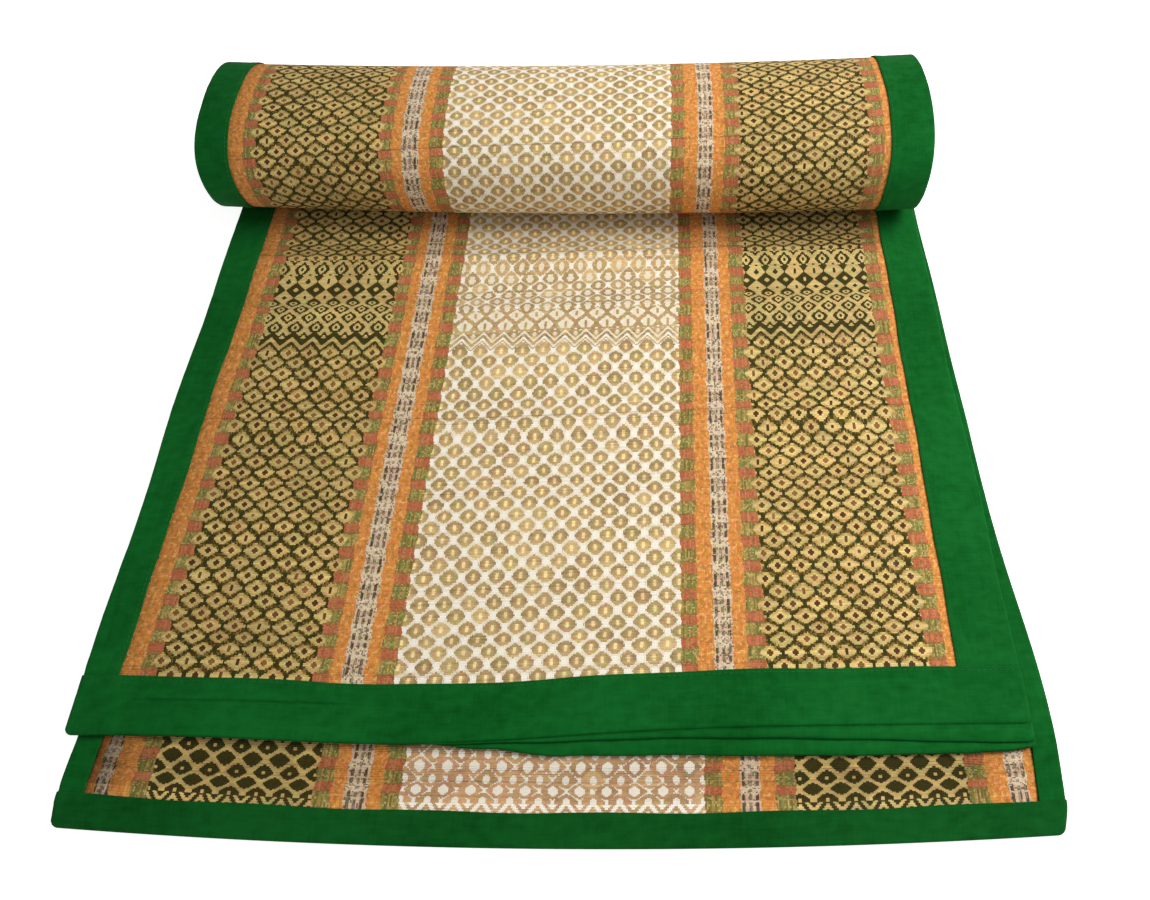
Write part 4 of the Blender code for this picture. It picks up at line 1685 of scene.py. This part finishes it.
class MAT_OT_end_bindings(bpy.types.Operator):
    """Fold the cloth strips round the two ends, over the side bindings"""

    bl_idname = "mat.end_bindings"
    bl_label = "End bindings"

    def execute(self, context):
        cloth = context.scene.mat_cloth
        weave = bpy.data.node_groups["plain_weave"]
        deeper = binding_cotton("binding_cotton_deeper", cloth.deep_colour, cloth.deep_shade, weave)
        end_binding("binding_cloth_upper_end", True, bpy.data.materials["binding_cotton"])
        end_binding("binding_cloth_lower_end", False, deeper)
        return {"FINISHED"}


class MAT_OT_seams(bpy.types.Operator):
    """Sew the bindings down with a row of stitches along each"""

    bl_idname = "mat.seams"
    bl_label = "Seams"

    def execute(self, context):
        thread = sewing_thread(context.scene.mat_cloth)
        for name, side in (("seam_left", -1), ("seam_right", 1)):
            places = side_seam(side)
            seam(name, places, np.zeros(len(places[0])), thread)
        for name, upper in (("seam_upper_end", True), ("seam_lower_end", False)):
            places = end_seam(upper)
            lapped = (places[0] < LEFT_FACE_EDGE) | (places[0] > RIGHT_FACE_EDGE)
            seam(name, places, lapped * (LAP_RISE + LAP_HEM_RISE) * upper, thread)
        return {"FINISHED"}


def soft_light(name, place, size, power, colour):
    """A large soft area light that looks at the mat's middle on the floor."""
    light = bpy.data.lights.new(name, "AREA")
    light.shape = "RECTANGLE"
    light.size, light.size_y = size
    light.energy = power
    light.color = colour
    lamp = bpy.data.objects.new(name, light)
    lamp.location = place
    lamp.visible_camera = False
    lamp.rotation_euler = (-lamp.location).to_track_quat("-Z", "Y").to_euler()
    bpy.context.scene.collection.objects.link(lamp)


def make_camera():
    """The camera, looking down at the mat as the photographer did."""
    data = bpy.data.cameras.new("mat_camera")
    data.lens = CAMERA_LENS
    data.shift_x = CAMERA_SHIFT
    camera = bpy.data.objects.new("mat_camera", data)
    camera.location = CAMERA_PLACE
    camera.rotation_euler = (CAMERA_TILT, 0.0, 0.0)
    bpy.context.scene.collection.objects.link(camera)
    bpy.context.scene.camera = camera


def make_floor(settings):
    """A wide pale floor."""
    bm = bmesh.new()
    bmesh.ops.create_grid(bm, x_segments=1, y_segments=1, size=FLOOR_HALF)
    mesh = bpy.data.meshes.new("studio_floor")
    bm.to_mesh(mesh)
    bm.free()
    floor = bpy.data.objects.new("studio_floor", mesh)
    bpy.context.scene.collection.objects.link(floor)
    material, tree, shader = new_material("studio_floor")
    place = tree.nodes.new("ShaderNodeTexCoord")
    cloud = tree.nodes.new("ShaderNodeTexNoise")
    cloud.inputs["Scale"].default_value = 3.0
    tree.links.new(place.outputs["Object"], cloud.inputs["Vector"])
    rough = Flow(tree, cloud.outputs[0]).range(0.3, 0.7, 0.75, 0.85)
    feed(tree, shader.inputs["Roughness"], rough)
    feed(tree, shader.inputs["Base Color"], settings.floor_colour)
    feed(tree, shader.inputs["Emission Color"], WHITE)
    shader.inputs["Emission Strength"].default_value = settings.floor_glow
    mesh.materials.append(material)


def room_light(strength):
    """A world that lights the mat softly and shows as plain white behind it."""
    world = bpy.data.worlds.new("room_light")
    world.use_nodes = True
    tree = world.node_tree
    background = tree.nodes["Background"]
    feed(tree, background.inputs["Color"], WHITE)
    seen = Flow(tree, tree.nodes.new("ShaderNodeLightPath").outputs["Is Camera Ray"])
    feed(tree, background.inputs["Strength"], seen.range(0.0, 1.0, strength, 1.0))
    return world


class MAT_OT_stage(bpy.types.Operator):
    """Make the camera, the pale floor and the soft studio light"""

    bl_idname = "mat.stage"
    bl_label = "Studio"

    def execute(self, context):
        settings = context.scene.mat_studio
        make_camera()
        make_floor(settings)
        soft_light("key_light", KEY_PLACE, KEY_SIZE, settings.key_power, WARM_WHITE)
        soft_light("fill_light", FILL_PLACE, FILL_SIZE, settings.fill_power, WHITE)
        context.scene.world = room_light(settings.world_strength)
        context.scene.view_settings.view_transform = "Standard"
        return {"FINISHED"}


class MAT_PT_panel(bpy.types.Panel):
    """The mat's pieces and settings, in the 3D view's sidebar"""

    bl_idname = "MAT_PT_panel"
    bl_label = "Grass Floor Mat"
    bl_space_type = "VIEW_3D"
    bl_region_type = "UI"
    bl_category = "Mat"

    def draw(self, context):
        layout = self.layout
        for operator in OPERATORS:
            layout.operator(operator.bl_idname)
        for group in (context.scene.mat_weave, context.scene.mat_cloth, context.scene.mat_studio):
            box = layout.box()
            for label in group.__annotations__:
                box.prop(group, label)


OPERATORS = (
    MAT_OT_weave,
    MAT_OT_side_bindings,
    MAT_OT_end_bindings,
    MAT_OT_seams,
    MAT_OT_stage,
)
GROUPS = {
    "mat_weave": MatWeaveSettings,
    "mat_cloth": MatClothSettings,
    "mat_studio": MatStudioSettings,
}


def register():
    """Add the settings, operators and panel."""
    for name, group in GROUPS.items():
        bpy.utils.register_class(group)
        setattr(bpy.types.Scene, name, PointerProperty(type=group))
    for kind in (*OPERATORS, MAT_PT_panel):
        bpy.utils.register_class(kind)


def unregister():
    """Take away the panel, operators and settings."""
    for kind in (MAT_PT_panel, *reversed(OPERATORS)):
        bpy.utils.unregister_class(kind)
    for name, group in reversed(GROUPS.items()):
        delattr(bpy.types.Scene, name)
        bpy.utils.unregister_class(group)


def main():
    """Dress the mat."""
    register()
    bpy.ops.mat.weave()
    bpy.ops.mat.side_bindings()
    bpy.ops.mat.end_bindings()
    bpy.ops.mat.seams()
    bpy.ops.mat.stage()


if __name__ == "__main__":
    main()
